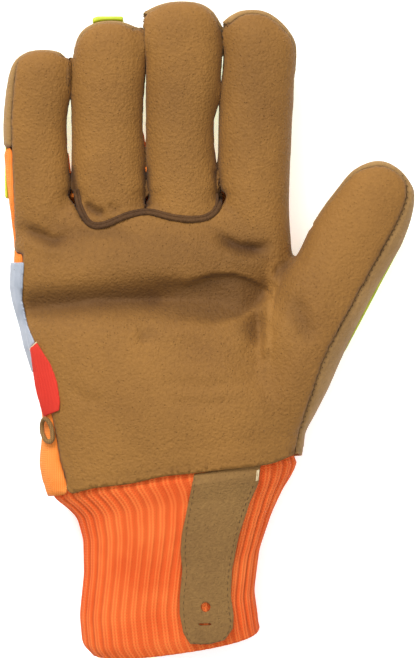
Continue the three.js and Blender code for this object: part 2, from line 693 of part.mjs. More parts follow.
// The same rows with the first and last moved outwards, so that a bore runs through both ends.
function endsPushedOut(rows) {
  return rows.map((row, i) => {
    if (i === 0) return { ...row, along: row.along - 0.1 };
    if (i === rows.length - 1) return { ...row, along: row.along + 0.1 };
    return row;
  });
}

// A skin that follows a solid's surface, from one growth to another.
const skinOf = (grown, low, high) => grown(high).subtract(grown(low));
const cuffGrown = (grow) => limbSolid(cuff, grow, cuffSidesInside * 2);
const handGrown = (grow) => hand(grow, fingerSides, palmSides);

// The pull strap on the front of the wrist, with a round punched hole and a slit under it.
const strapEdges = [
  [0.041, 0.012], [0.005, 0.163], [-0.042, 0.358], [-0.056, 0.457], [-0.06, 0.566], [-0.084, 0.716],
  [-0.094, 0.816], [-0.09, 0.93], [-0.069, 1.0], [0.007, 1.02], [0.069, 1.01], [0.108, 0.95], [0.118, 0.87],
  [0.117, 0.758], [0.137, 0.606], [0.185, 0.405], [0.242, 0.231], [0.289, 0.12], [0.308, 0.012],
];
const inCuff = (across, along) => inLimb(cuff, along * cuffLength, -across * cuffWidth);
const strapOutline = strapEdges.map(([across, along]) => inCuff(across, along));
const strapHole = inCuff(0.012, 0.8);
const holeOutline = new THREE.Shape().absarc(strapHole.x, strapHole.y, strapHoleRadius, 0, 2 * Math.PI);
const slitMiddle = inCuff(0, 0.9);
const slitEnds = [-strapSlitLength / 2, strapSlitLength / 2].map(
  (aside) => new THREE.Vector2(slitMiddle.x + aside, slitMiddle.y),
);
const pullStrap = mainPiece(
  skinOf(cuffGrown, strapGap, strapGap + strapThickness)
    .intersect(prism(strapOutline, cuffLevel, far))
    .subtract(prism(holeOutline.getPoints(holeSteps), 0, far))
    .subtract(slitAlong(slitEnds, strapSlitWidth, 0, far)),
);

// The woven label, sewn into the side seam and folded over onto the leather.
const labelOutline = [
  [-0.571, 0.456], [-0.544, 0.482], [-0.502, 0.397], [-0.476, 0.327], [-0.457, 0.257], [-0.457, 0.228],
  [-0.52, 0.202], [-0.524, 0.257], [-0.543, 0.342], [-0.565, 0.434],
];
const wovenLabel = skinOf((grow) => limbSolid(palm, grow, palmSides), seamGap, seamGap + labelThickness)
  .intersect(prism(placesOf(labelOutline), palmLevel, far));
const labelMiddle = onPalm(-0.515, 0.34);
const labelRoom = placesOf(labelOutline).map((place) => {
  const outward = place.clone().sub(labelMiddle).normalize();
  return place.addScaledVector(outward, 4 * seamGap);
});

// The reflective band across the back of the hand, under the knuckle guard.
const bandOutline = [[-0.7, 0.772], [-0.7, 0.371], [0.27, 0.338], [0.27, 0.743]];
const bandFrontLimit = outlineWithin([...palmOutline.slice(2, 9), [0.2, 0.1], [0.2, 0.83]], -2 * seamGap);
const reflectiveBand = mainPiece(
  skinOf((grow) => limbSolid(palm, grow, palmSides), seamGap, seamGap + bandThickness)
    .intersect(prism(placesOf(bandOutline), -far, far))
    .subtract(prism(bandFrontLimit, palmLevel, far))
    .subtract(prism(labelRoom, palmLevel - trimDrop, far))
    .subtract(handGrown(seamGap)),
);

// The hanging loop of cord beside the label, lying on the fabric.
const loopPlaces = [
  [-0.5, 0.19], [-0.517, 0.196], [-0.526, 0.17], [-0.522, 0.14],
  [-0.506, 0.116], [-0.487, 0.116], [-0.484, 0.15],
];
const loopPoints = placesOf(loopPlaces).map(
  (place) => new THREE.Vector3(place.x, place.y, skinHeight(place, loopFootprint) + loopCordRadius + seamGap),
);
const hangingLoop = cordAlong(loopPoints, loopCordRadius, true, loopSteps);

// Everything below the level that the glove lies on.
const farSquare = [[-far, -far], [far, -far], [far, far], [-far, far]];
const belowFloor = prism(farSquare.map(([x, y]) => new THREE.Vector2(x, y)), -far, 0);
const handRoom = handGrown(seamGap);

// The pads run along each limb between these shares of its length, and take up a share of its web's width.
const padShare = 0.8;
const fingerPads = [[0.32, 0.46], [0.5, 0.64], [0.68, 0.82], [0.86, 0.96]];
const thumbPads = [[0.42, 0.56], [0.6, 0.74], [0.78, 0.92]];

// The moulded guard of a limb: a thin web along its back with raised pads.
function limbGuard(limb, pads, from, to, left, right, high) {
  const grown = (grow) => limbSolid(limb, grow, fingerSides);
  const web = skinOf(grown, seamGap, seamGap + guardWebThickness).intersect(
    stretchOf(limb, from, to, left, right, -far, high),
  );
  const raised = skinOf(grown, seamGap, guardThickness);
  const padSolids = pads.map(([start, end]) =>
    raised.intersect(stretchOf(limb, start, end, left * padShare, right * padShare, -far, high - guardStep)),
  );
  return mainPiece(joined([web, ...padSolids]).subtract(handRoom).subtract(belowFloor));
}

// Each guard with where it starts and ends along its limb, how far it reaches to each side and up.
const guards = [
  ["pinky_guard", limbGuard(pinky, fingerPads, 0.2, 0.98, -0.53, 0.3, pinky.level + guardSideLap)],
  ["ring_guard", limbGuard(ring, fingerPads, 0.28, 1.03, -0.22, 0.2, ring.level + guardLipLap)],
  ["middle_guard", limbGuard(middle, fingerPads, 0.28, 0.98, -0.3, 0.3, middle.level + guardLap)],
  ["index_guard", limbGuard(index, fingerPads, 0.28, 0.98, -0.3, 0.3, index.level + guardLap)],
  ["thumb_guard", limbGuard(thumb, thumbPads, 0.36, 0.97, -0.25, 0.43, thumb.level)],
];

// The knuckle guard: four pads on one web, with flat faces that the glove lies on.
const knucklePads = [[-0.56, -0.4], [-0.36, -0.17], [-0.12, 0.08], [0.13, 0.33]];
const [knuckleStart, padStart, padEnd, knuckleEnd] = [0.77, 0.79, 0.96, 0.98];
const rectangle = (left, right, from, to) => placesOf([[left, from], [right, from], [right, to], [left, to]]);
const knuckleWeb = skinOf(handGrown, seamGap, seamGap + guardWebThickness)
  .intersect(prism(rectangle(-0.54, 0.31, knuckleStart, knuckleEnd), 0, palmLevel - knuckleWebDrop));
const knucklePadSolids = knucklePads.map(([left, right]) =>
  prism(rectangle(left, right, padStart, padEnd), 0, palmLevel - knucklePadDrop).subtract(handRoom),
);
const knuckleGuard = mainPiece(joined([knuckleWeb, ...knucklePadSolids]));

// Looks of the pieces.
const leatherLook = { color: 0xa27440, roughness: 0.75, metalness: 0 };
const backLeatherLook = { color: 0x9a7647, roughness: 0.8, metalness: 0 };
const orangeLook = { color: 0xff8a35, roughness: 0.85, metalness: 0 };
const knitLook = { color: 0xf86a38, roughness: 0.95, metalness: 0 };
const guardLook = { color: 0xd7e04a, roughness: 0.5, metalness: 0 };

const glove = new THREE.Group();
glove.add(meshOf("palm_panel", palmPanel, leatherLook));
glove.add(meshOf("ring_finger_front", ringFront, leatherLook));
glove.add(meshOf("middle_finger_front", middleFront, leatherLook));
glove.add(meshOf("rolled_seam", rolledSeam, { color: 0x55391b, roughness: 0.8, metalness: 0 }));
glove.add(meshOf("back_panel", backPanel, orangeLook));
glove.add(meshOf("thumb_back", thumbBack, backLeatherLook));
caps.forEach(({ name }, i) => glove.add(meshOf(name, capSolids[i], backLeatherLook)));
glove.add(meshOf("reflective_band", reflectiveBand, { color: 0xb8bfc8, roughness: 0.35, metalness: 0.3 }));
glove.add(meshOf("wrist_knit", wristKnit, knitLook));
glove.add(meshOf("pull_strap", pullStrap, backLeatherLook));
glove.add(meshOf("woven_label", wovenLabel, { color: 0xcd3a2e, roughness: 0.7, metalness: 0 }));
glove.add(meshOf("hanging_loop", hangingLoop, { color: 0x9a7a4a, roughness: 0.9, metalness: 0 }));
guards.forEach(([name, solid]) => glove.add(meshOf(name, solid, guardLook)));
glove.add(meshOf("knuckle_guard", knuckleGuard, guardLook));

// The origin is the middle of the underside.
const around = new THREE.Box3().setFromObject(glove);
const centre = around.getCenter(new THREE.Vector3());
glove.position.set(-centre.x, -centre.y, -around.min.z);

export default glove;
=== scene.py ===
"""A leather work glove with a knitted wrist and rubber guards, lying on its back, palm up."""

import logging
import math
from dataclasses import dataclass
from enum import Enum

import bmesh
import bpy
import numpy as np
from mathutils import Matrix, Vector
from mathutils.bvhtree import BVHTree


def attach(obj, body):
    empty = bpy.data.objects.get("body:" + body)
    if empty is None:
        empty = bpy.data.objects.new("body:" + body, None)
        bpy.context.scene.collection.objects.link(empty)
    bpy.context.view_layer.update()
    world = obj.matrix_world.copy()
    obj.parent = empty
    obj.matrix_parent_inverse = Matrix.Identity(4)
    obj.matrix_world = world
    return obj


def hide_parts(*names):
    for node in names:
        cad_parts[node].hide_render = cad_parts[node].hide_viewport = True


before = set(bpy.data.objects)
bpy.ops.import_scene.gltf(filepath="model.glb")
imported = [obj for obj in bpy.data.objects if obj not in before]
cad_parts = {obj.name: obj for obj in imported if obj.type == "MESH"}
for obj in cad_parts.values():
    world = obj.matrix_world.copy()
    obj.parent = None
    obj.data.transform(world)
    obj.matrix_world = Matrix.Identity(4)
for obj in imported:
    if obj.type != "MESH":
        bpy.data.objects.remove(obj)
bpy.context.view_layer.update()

MM = 0.001
logging.basicConfig(level=logging.INFO, format="%(message)s")
log = logging.getLogger("glove")

Place = tuple[float, float]
Socket = bpy.types.NodeSocket
DOWN = Vector((0, 0, -1))
# The palm's own origin, at the middle of the wrist seam, in millimetres.
ROOT = Vector((-10.217, -59.086, 0))
# The ways along the tilted wrist, away from the hand, and across it, towards the little finger.
CUFF_AHEAD = Vector((0.1392, -0.9903, 0))
CUFF_SIDE = Vector((-0.9903, -0.1392, 0))


class Slot(Enum):
    """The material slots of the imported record."""

    PALM = "palm_leather"
    BACK = "back_leather"
    FABRIC = "orange_fabric"
    KNIT = "orange_knit"
    RUBBER = "impact_rubber"
    TAPE = "reflective_tape"
    LABEL = "label_fabric"
    CORD = "loop_cord"
    SEAM = "seam_leather"


def linear(hex_colour: str) -> tuple[float, float, float, float]:
    """Turns an sRGB colour into the linear one that the shaders read.

    Args:
        hex_colour: Six hex digits after a hash mark.

    Returns:
        Linear red, green, blue and an alpha of one.
    """
    parts = [int(hex_colour[i:i + 2], 16) / 255 for i in (1, 3, 5)]
    lit = [p / 12.92 if p <= 0.04045 else ((p + 0.055) / 1.055) ** 2.4 for p in parts]
    return lit[0], lit[1], lit[2], 1.0


class Paint:
    """One material in the making, with the piece's own object coordinates to lay patterns on."""

    def __init__(self, name: str) -> None:
        """Starts a material, named for what the real one is, with an emptied node tree."""
        self.material = bpy.data.materials.new(name)
        self.material.use_nodes = True
        self.tree = self.material.node_tree
        self.tree.nodes.clear()
        self.place = self.node("ShaderNodeTexCoord").outputs["Object"]

    def node(
        self,
        kind: str,
        settings: dict | None = None,
        links: dict | None = None,
    ) -> bpy.types.Node:
        """Adds one shader node.

        Args:
            kind: Blender's name of the node type.
            settings: Attributes of the node, or values of its inputs by name or number.
            links: Output sockets by the name or number of the input that each feeds.

        Returns:
            The new node.
        """
        node = self.tree.nodes.new(kind)
        for name, value in (settings or {}).items():
            if isinstance(name, str) and hasattr(node, name):
                setattr(node, name, value)
            else:
                node.inputs[name].default_value = value
        for name, source in (links or {}).items():
            self.tree.links.new(source, node.inputs[name])
        return node

    def fed(self, kind: str, settings: dict, values: dict) -> bpy.types.Node:
        """Adds a node whose inputs are each fed by a link or hold a constant.

        Args:
            kind: Blender's name of the node type.
            settings: Attributes of the node.
            values: An output socket, a number or a hex colour for each input's number.

        Returns:
            The new node.
        """
        links = {key: value for key, value in values.items() if isinstance(value, Socket)}
        held = {
            key: linear(value) if isinstance(value, str) else value
            for key, value in values.items()
            if key not in links
        }
        return self.node(kind, {**settings, **held}, links)

    def ramp(self, factor: Socket, stops: list[tuple[float, str]]) -> Socket:
        """Turns a value from 0 to 1 into a colour.

        Args:
            factor: The value.
            stops: Pairs of place and hex colour, in rising order.

        Returns:
            The colour output.
        """
        node = self.node("ShaderNodeValToRGB", links={"Fac": factor})
        band = node.color_ramp
        while len(band.elements) < len(stops):
            band.elements.new(0.5)
        for element, (place, colour) in zip(band.elements, stops):
            element.position = place
            element.color = linear(colour)
        return node.outputs["Color"]

    def mixed(self, factor: Socket | float, first: Socket | str, second: Socket | str) -> Socket:
        """Mixes two colours, by the second one's share."""
        values = {0: factor, 6: first, 7: second}
        return self.fed("ShaderNodeMix", {"data_type": "RGBA"}, values).outputs[2]

    def maths(self, operation: str, first: Socket | float, second: Socket | float = 0.0) -> Socket:
        """Works out one step of arithmetic, by Blender's name of the operation."""
        node = self.fed("ShaderNodeMath", {"operation": operation}, {0: first, 1: second})
        return node.outputs["Value"]

    def noise(self, size_mm: float, detail: float = 2.0, roughness: float = 0.5) -> bpy.types.Node:
        """Adds clouds of a size in real millimetres, with finer layers in them."""
        settings = {"Scale": 1 / (size_mm * MM), "Detail": detail, "Roughness": roughness}
        return self.node("ShaderNodeTexNoise", settings, {"Vector": self.place})

    def cells(self, size_mm: float, place: Socket, settings: dict) -> Socket:
        """Adds cells of a size in real millimetres, as distances from each cell's middle."""
        settings = {"Scale": 1 / (size_mm * MM), **settings}
        return self.node("ShaderNodeTexVoronoi", settings, {"Vector": place}).outputs["Distance"]

    def carried(self, attribute: str) -> Socket:
        """Reads a value that the mesh carries at its points."""
        return self.node("ShaderNodeAttribute", {"attribute_name": attribute}).outputs["Fac"]

    def finished(
        self,
        colour: Socket,
        height: Socket,
        relief_mm: float,
        strength: float,
        settings: dict,
    ) -> bpy.types.Material:
        """Ends the material with its relief and its surface.

        Args:
            colour: The colour output.
            height: The relief's output.
            relief_mm: The relief's depth, in millimetres.
            strength: The relief's strength, from 0 to 1.
            settings: The surface's other constants.

        Returns:
            The finished material.
        """
        depth = {"Strength": strength, "Distance": relief_mm * MM}
        bump = self.node("ShaderNodeBump", depth, {"Height": height})
        links = {"Base Color": colour, "Normal": bump.outputs["Normal"]}
        shader = self.node("ShaderNodeBsdfPrincipled", {"IOR": 1.5, **settings}, links)
        self.node("ShaderNodeOutputMaterial", links={"Surface": shader.outputs[0]})
        return self.material


@dataclass(frozen=True)
class Leather:
    """Full-grain work leather, drum dyed and left matt: pebbled grain, pores, uneven tone."""

    name: str
    light: str
    middle: str
    dark: str
    valley: str
    grain_mm: float = 1.1
    roughness: float = 0.72

    def material(self) -> bpy.types.Material:
        """Builds the leather: painted shade darkens the valleys and painted highlight, partly wear,
        pales the ridges, by values that the mesh carries.
        """
        paint = Paint(self.name)
        # 30 mm clouds, coarser than any grain: the dye takes unevenly over whole areas of a hide.
        cloud = paint.noise(30).outputs["Fac"]
        mottle = paint.noise(1.6, 4.0, 0.7).outputs["Fac"]
        warp = paint.noise(2.4).outputs["Color"]
        bend = {"data_type": "VECTOR", 0: 0.0012}
        bent = paint.node("ShaderNodeMix", bend, {4: paint.place, 5: warp}).outputs[1]
        pebbles = paint.cells(self.grain_mm, bent, {"feature": "SMOOTH_F1", "Smoothness": 0.4})
        pores = paint.cells(1.7, bent, {"Randomness": 1.0})
        pore = paint.ramp(pores, [(0.05, "#000000"), (0.2, "#ffffff")])
        base = paint.ramp(cloud, [(0.2, self.dark), (0.5, self.middle), (0.8, self.light)])
        spots = paint.ramp(mottle, [(0.3, self.dark), (0.7, self.light)])
        spotted = paint.mixed(0.42, base, spots)
        pored = paint.mixed(0.35, spotted, paint.mixed(pore, self.valley, spotted))
        # Painted highlight, partly wear, pales the ridges; painted shade darkens the valleys.
        worn_and_lit_share = paint.maths("MULTIPLY", paint.carried("wear_and_highlight"), 0.6)
        worn_and_lit = paint.mixed(worn_and_lit_share, pored, self.light)
        deep = paint.mixed(paint.carried("shade"), worn_and_lit, self.valley)
        rise = paint.maths("SUBTRACT", 0.5, paint.maths("MULTIPLY", pebbles, 0.7))
        uneven = paint.maths("ADD", rise, paint.maths("MULTIPLY", mottle, 0.8))
        pitted = paint.maths("MULTIPLY", uneven, pore)
        matt = {
            "Roughness": self.roughness,
            "Sheen Weight": 0.05,
            "Sheen Roughness": 0.5,
            "Specular IOR Level": 0.3,
        }
        return paint.finished(deep, pitted, 0.45, 0.85, matt)


@dataclass(frozen=True)
class Knit:
    """Acrylic rib knit: rows of interlocked loops, soft and a little fuzzy, in a fluorescent dye."""

    name: str
    light: str
    middle: str
    dark: str
    wale_mm: float
    row_mm: float
    relief_mm: float

    def material(self) -> bpy.types.Material:
        """Builds the knit on the piece's own UV map, whose units are metres."""
        paint = Paint(self.name)
        chart = paint.node("ShaderNodeUVMap", {"uv_map": "cloth"}).outputs["UV"]
        axes = paint.node("ShaderNodeSeparateXYZ", links={"Vector": chart}).outputs
        wale = paint.maths("FRACT", paint.maths("MULTIPLY", axes["X"], 1 / (self.wale_mm * MM)))
        lean = paint.maths("ABSOLUTE", paint.maths("SUBTRACT", wale, 0.5))
        course = paint.maths("MULTIPLY", axes["Y"], 1 / (self.row_mm * MM))
        row = paint.maths("ADD", course, paint.maths("MULTIPLY", lean, 1.4))
        along = paint.maths("SINE", paint.maths("MULTIPLY", row, 2 * math.pi))
        across = paint.maths("COSINE", paint.maths("MULTIPLY", lean, 2 * math.pi))
        near, side = paint.maths("MULTIPLY", along, 0.3), paint.maths("MULTIPLY", across, 0.35)
        loops = paint.maths("SUBTRACT", near, side)
        fuzz = paint.noise(0.5, 3.0).outputs["Fac"]
        # 18 mm clouds, coarser than the loops: dye and stretch differ over whole areas of the cloth.
        cloud = paint.noise(18).outputs["Fac"]
        height = paint.maths("ADD", loops, paint.maths("MULTIPLY", fuzz, 0.35))
        # The loops' colour follows their height: painted shade in the dips between loops, painted
        # highlight on their tops.
        level = paint.maths("ADD", paint.maths("MULTIPLY", height, 0.55), 0.45)
        base = paint.ramp(level, [(0.0, self.dark), (0.5, self.middle), (0.95, self.light)])
        areas = paint.ramp(cloud, [(0.35, self.dark), (0.65, self.light)])
        toned = paint.mixed(0.25, base, areas)
        deep = paint.mixed(paint.carried("shade"), toned, self.dark)
        soft = {
            "Roughness": 0.9,
            "Sheen Weight": 0.03,
            "Sheen Roughness": 0.4,
            "Specular IOR Level": 0.15,
        }
        return paint.finished(deep, height, self.relief_mm, 0.8, soft)


@dataclass(frozen=True)
class Moulded:
    """Moulded thermoplastic rubber: even satin skin with a very fine mould grain."""

    name: str
    colour: str
    deep: str
    roughness: float = 0.45

    def material(self) -> bpy.types.Material:
        """Builds the rubber, and the tape and threads, whose skin is as even."""
        paint = Paint(self.name)
        # 9 mm clouds, coarser than the mould grain: handling leaves the even skin duller in places.
        cloud = paint.noise(9, 3.0).outputs["Fac"]
        grain = paint.noise(0.45).outputs["Fac"]
        base = paint.ramp(cloud, [(0.3, self.deep), (0.6, self.colour)])
        colour = paint.mixed(paint.carried("shade"), base, self.deep)
        satin = {"Roughness": self.roughness, "Specular IOR Level": 0.4}
        return paint.finished(colour, grain, 0.1, 0.25, satin)


Finish = Leather | Knit | Moulded

# The palm: warm mid-brown, matt and pebbled, with painted highlight, partly wear, where it bulges and
# painted shade, dark brown, in its folds.
PALM_LEATHER = Leather("palm_grain_leather", "#a17133", "#8c612a", "#785021", "#331803")
# The fingertips and the thumb's back: the same hide in a paler, greyer taupe.
BACK_LEATHER = Leather("back_taupe_leather", "#b38b54", "#9c7646", "#846237", "#4a3518", 0.8, 0.8)
# The strap: that taupe one tone darker, from handling.
STRAP_LEATHER = Leather("strap_taupe_leather", "#9c7742", "#876437", "#71512b", "#38260f", 0.8, 0.8)
# The rolled seam: dark brown, tightly rolled, so hardly any grain shows.
SEAM_LEATHER = Leather("rolled_seam_leather", "#64431f", "#513418", "#3e2711", "#1c1007", 0.9, 0.75)
# The wrist: glowing orange wool-like ribs, with painted shade in deeper orange between them.
WRIST_KNIT = Knit("orange_rib_knit", "#ff9048", "#ff7034", "#d04618", 1.4, 1.2, 0.4)
# The hand's back: a lighter, smoother orange cloth.
BACK_FABRIC = Knit("orange_jersey_fabric", "#ffab5a", "#ff8f3a", "#e8701f", 0.9, 0.7, 0.2)
# The label: plain bright red weave.
LABEL_CLOTH = Knit("red_woven_label", "#ea4a3a", "#dc3a2c", "#b52a20", 0.5, 0.5, 0.1)
# The loop: tan braid.
LOOP_CORD = Knit("tan_braided_cord", "#a98352", "#8c683c", "#5f4324", 0.8, 0.8, 0.2)
# The guards: strong yellow-green with a satin gleam.
GUARD_RUBBER = Moulded("hi_vis_rubber", "#cddc38", "#b4c62a")
# The band: silvery grey with a dull gleam.
STRIP_TAPE = Moulded("silver_reflective_tape", "#a8aeb9", "#8d94a0", 0.35)
# The seams' stitches: dark brown, and cream at the strap's bars and the label's fold.
DARK_THREAD = Moulded("brown_bonded_thread", "#5a3d1f", "#3a2410", 0.7)
PALE_THREAD = Moulded("cream_bonded_thread", "#e2cfa6", "#c8b083", 0.7)

PALM_SIDE = ("palm_panel", "ring_finger_front", "middle_finger_front")
BACK_SIDE = ("thumb_back", "pinky_cap", "ring_cap", "middle_cap", "index_cap")
PANELS = {
    **{name: (PALM_LEATHER, Slot.PALM) for name in PALM_SIDE},
    "back_panel": (BACK_FABRIC, Slot.FABRIC),
    **{name: (BACK_LEATHER, Slot.BACK) for name in BACK_SIDE},
}
GUARDS = ("pinky_guard", "ring_guard", "middle_guard", "index_guard", "thumb_guard", "knuckle_guard")

# Lines in the palm's own millimetres, read off the photograph.
WELT_LINE = (
    (-45.4, 118.2), (-44.9, 114.4), (-43.7, 109.8), (-41.6, 105.6), (-39.1, 102.9), (-35.7, 102.3),
    (-31.1, 103.5), (-26, 106), (-21, 107.7), (-15.5, 108.6), (-10.9, 107.7), (-5.5, 106),
    (0.8, 105.2), (5.9, 105.2), (10.5, 106.2), (13.9, 109), (15.3, 112.3), (15.1, 117.4),
)
THUMB_SEAM = (
    (90.7, 124.1), (93.3, 119.9), (92.8, 112.7), (89.9, 105.2), (81.9, 90.9), (73.5, 75.4),
    (70.6, 70.4), (66.8, 63.7), (64.3, 59.5), (61.3, 52.8), (57.1, 43.2), (52.9, 30.2), (50.8, 23.9),
    (49.1, 19.3), (47.9, 14.3), (45.8, 9.4),
)
STRIP_HEM = ((-71.2, 84.8), (-69, 84.5), (-66.8, 84.2))
STRAP_BARS = (((31.2, 1.4), (31.0, -0.8), (30.7, -3.0)), ((30.6, 1.2), (30.4, -0.9), (30.1, -3.2)))
LABEL_MIDDLE = ((-63.2, 53.2), (-53, 25.5))
LABEL_TOP = ((-64.4, 51.4), (-62.9, 53), (-61.4, 54.4))
STRAP_ROW = (
    (4.7, -1.5), (3.7, -11.5), (1.6, -19.3), (0.3, -32.7), (1.6, -40.2), (0, -51.1), (-0.1, -58.3),
    (1.1, -66.7), (3.7, -70.9), (10.5, -71), (16.4, -69.4), (19.4, -65), (19.4, -60.4), (18, -51.1),
    (18.6, -40.2), (21.6, -25.3), (25.8, -12.2), (29.6, -3.8),
)
# The slits between the fingers, from the tips down to the crotches.
SLITS = (
    (
        (-47.3, 172.7), (-47.6, 164.3), (-48.2, 155.9), (-48.6, 145), (-48.1, 135), (-47.5, 124.5),
        (-46.9, 116),
    ),
    (
        (-15.4, 184), (-15.9, 164.3), (-16.2, 155.9), (-16.5, 145), (-16.2, 135), (-15.9, 124.5),
        (-15.8, 116),
    ),
    (
        (17.5, 184), (15.6, 164.3), (14.6, 155.9), (13.4, 145), (13.5, 135), (14.3, 124.5),
        (14.9, 116),
    ),
)
# How far the palm's hem lies past the straight wrist seam, by place across the palm.
HEM_LINE = (
    (-47.9, 1.6), (-37.8, 0.2), (-23.1, 0.6), (-8.8, -0.7), (4.2, -0.1), (19.3, 0.3), (35, 0.8),
    (42, -0.6), (44.9, -1.5),
)


def mesh_of(obj: bpy.types.Object) -> bpy.types.Mesh:
    """Gives an object's mesh as its modifiers leave it."""
    return bpy.data.meshes.new_from_object(obj.evaluated_get(bpy.context.evaluated_depsgraph_get()))


def settled(obj: bpy.types.Object) -> bpy.types.Object:
    """Applies an object's modifiers.

    Args:
        obj: A mesh object.

    Returns:
        The same object with a plain mesh and no modifiers.
    """
    bpy.context.view_layer.update()
    mesh = mesh_of(obj)
    obj.modifiers.clear()
    obj.data = mesh
    return obj


def object_of(name: str, bm: bmesh.types.BMesh) -> bpy.types.Object:
    """Makes an object of a bmesh and frees the bmesh.

    Args:
        name: The piece's name.
        bm: The finished bmesh.

    Returns:
        The linked object.
    """
    mesh = bpy.data.meshes.new(name)
    bm.to_mesh(mesh)
    bm.free()
    obj = bpy.data.objects.new(name, mesh)
    bpy.context.scene.collection.objects.link(obj)
    return obj


def tree_of(mesh: bpy.types.Mesh) -> BVHTree:
    """Gives a search tree of a mesh, for what lies on it."""
    bm = bmesh.new()
    bm.from_mesh(mesh)
    tree = BVHTree.FromBMesh(bm)
    bm.free()
    return tree


def merged_copy(names: tuple[str, ...], grow: float = 0.0) -> bmesh.types.BMesh:
    """Copies CAD nodes into one bmesh of joined-up faces.

    Args:
        names: The CAD nodes.
        grow: How far each skin moves outwards, in metres.

    Returns:
        The new bmesh.
    """
    whole = bmesh.new()
    for name in names:
        part = bmesh.new()
        part.from_mesh(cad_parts[name].data)
        bmesh.ops.remove_doubles(part, verts=part.verts, dist=0.002 * MM)
        part.normal_update()
        for vert in part.verts:
            vert.co += vert.normal * grow
        mesh = bpy.data.meshes.new("copy")
        part.to_mesh(mesh)
        part.free()
        whole.from_mesh(mesh)
        bpy.data.meshes.remove(mesh)
    return whole


def remeshed(obj: bpy.types.Object, voxel: float) -> bpy.types.Object:
    """Rebuilds a mesh as even small faces.

    Args:
        obj: A closed mesh object.
        voxel: The size of the faces, in metres.

    Returns:
        The same object with its new mesh.
    """
    rebuild = obj.modifiers.new("even", "REMESH")
    rebuild.mode = "VOXEL"
    rebuild.voxel_size = voxel
    return settled(obj)


class Points:
    """The points of a mesh of four-sided faces as arrays, for smoothing and sculpting."""

    def __init__(self, mesh: bpy.types.Mesh) -> None:
        """Reads the mesh's points, edges and faces."""
        self.mesh = mesh
        self.count = len(mesh.vertices)
        self.places = np.empty(self.count * 3)
        mesh.vertices.foreach_get("co", self.places)
        self.places = self.places.reshape(-1, 3)
        self.edges = np.empty(len(mesh.edges) * 2, np.int32)
        mesh.edges.foreach_get("vertices", self.edges)
        self.edges = self.edges.reshape(-1, 2)
        self.faces = np.empty(len(mesh.loops), np.int32)
        mesh.loops.foreach_get("vertex_index", self.faces)
        self.faces = self.faces.reshape(-1, 4)
        self.links = np.maximum(np.bincount(self.edges.ravel(), minlength=self.count), 1)

    def spread(self, values: np.ndarray) -> np.ndarray:
        """Gives, for each point, the mean of its neighbours' values.

        Args:
            values: One row of numbers for each point.

        Returns:
            The means, in the same form.
        """
        total = np.zeros_like(values)
        ends = np.concatenate([self.edges[:, 0], self.edges[:, 1]])
        others = np.concatenate([self.edges[:, 1], self.edges[:, 0]])
        for axis in range(values.shape[1]):
            total[:, axis] = np.bincount(ends, weights=values[others, axis], minlength=self.count)
        return total / self.links[:, None]

    def normals(self) -> np.ndarray:
        """Gives the outward direction at each point."""
        corners = self.places[self.faces]
        facing = np.cross(corners[:, 2] - corners[:, 0], corners[:, 3] - corners[:, 1])
        total = np.zeros_like(self.places)
        for ends in self.faces.T:
            for axis in range(3):
                total[:, axis] += np.bincount(ends, weights=facing[:, axis], minlength=self.count)
        return total / np.maximum(np.linalg.norm(total, axis=1), 1e-12)[:, None]

    def relax(self, times: int, fill: float, factor: float = 0.5) -> None:
        """Wears down edges and facets, and fills hollows less.

        Args:
            times: How many passes.
            fill: How much of each outward move is kept, from 0 to 1.
            factor: How far each pass moves a point towards its neighbours' middle.
        """
        for _ in range(times):
            move = (self.spread(self.places) - self.places) * factor
            facing = self.normals()
            out = (move * facing).sum(axis=1)
            move -= facing * (np.where(out > 0, 1 - fill, 0.0) * out)[:, None]
            self.places += move

    def hollows(self, times: int, depth: float) -> np.ndarray:
        """Measures how far each point lies below or above its wider surroundings.

        Args:
            times: How many passes of smoothing give the surroundings.
            depth: The depth that counts as one, in metres.

        Returns:
            From -1 on ridges to 1 in valleys.
        """
        wide = self.places.copy()
        for _ in range(times):
            wide = self.spread(wide)
        below = ((wide - self.places) * self.normals()).sum(axis=1)
        return np.clip(below / depth, -1.0, 1.0)

    def write(self) -> None:
        """Puts the points back into the mesh."""
        self.mesh.vertices.foreach_set("co", self.places.ravel())
        self.mesh.update()


def dress(obj: bpy.types.Object, finish: Finish, nodes: tuple[str, ...] = ()) -> None:
    """Finishes a piece: smooth shading, its material, its body and what it stands for.

    Args:
        obj: The piece.
        finish: Its finish.
        nodes: The CAD nodes that the piece replaces.
    """
    obj.data.materials.clear()
    obj.data.materials.append(bpy.data.materials.get(finish.name) or finish.material())
    obj.data.shade_smooth()
    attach(obj, "root")
    if nodes:
        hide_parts(*nodes)
    log.info("%s: %d faces", obj.name, len(obj.data.polygons))


def chart_flat(obj: bpy.types.Object) -> None:
    """Gives a piece a UV map in metres for a cloth's pattern, from the side that each face looks to."""
    layer = obj.data.uv_layers.new(name="cloth")
    for face in obj.data.polygons:
        facing = [abs(part) for part in face.normal]
        u, v = ((1, 2), (0, 2), (0, 1))[facing.index(max(facing))]
        for index in face.loop_indices:
            point = obj.data.vertices[obj.data.loops[index].vertex_index].co
            layer.data[index].uv = (point[u], point[v])


def on_palm(x: float, y: float, z: float = 0.0) -> Vector:
    """Turns millimetres in the palm's own frame into metres in the row frame."""
    return Vector((ROOT.x + x, ROOT.y + y, z)) * MM


def from_line(x: float, y: float, line: tuple[Place, ...]) -> tuple[float, float, float]:
    """Measures a point against a line of places.

    Args:
        x: The point's X, in millimetres.
        y: The point's Y, in millimetres.
        line: The line's places, in millimetres.

    Returns:
        The distance, the share of the line at the nearest place, and the signed distance to its left.
    """
    best = (1e9, 0.0, 0.0)
    last = len(line) - 1
    for i in range(last):
        ax, ay = line[i]
        bx, by = line[i + 1]
        dx, dy = bx - ax, by - ay
        share = max(0.0, min(1.0, ((x - ax) * dx + (y - ay) * dy) / (dx * dx + dy * dy)))
        ox, oy = x - ax - share * dx, y - ay - share * dy
        far = math.hypot(ox, oy)
        if far < best[0]:
            best = (far, (i + share) / last, math.copysign(far, dx * oy - dy * ox))
    return best


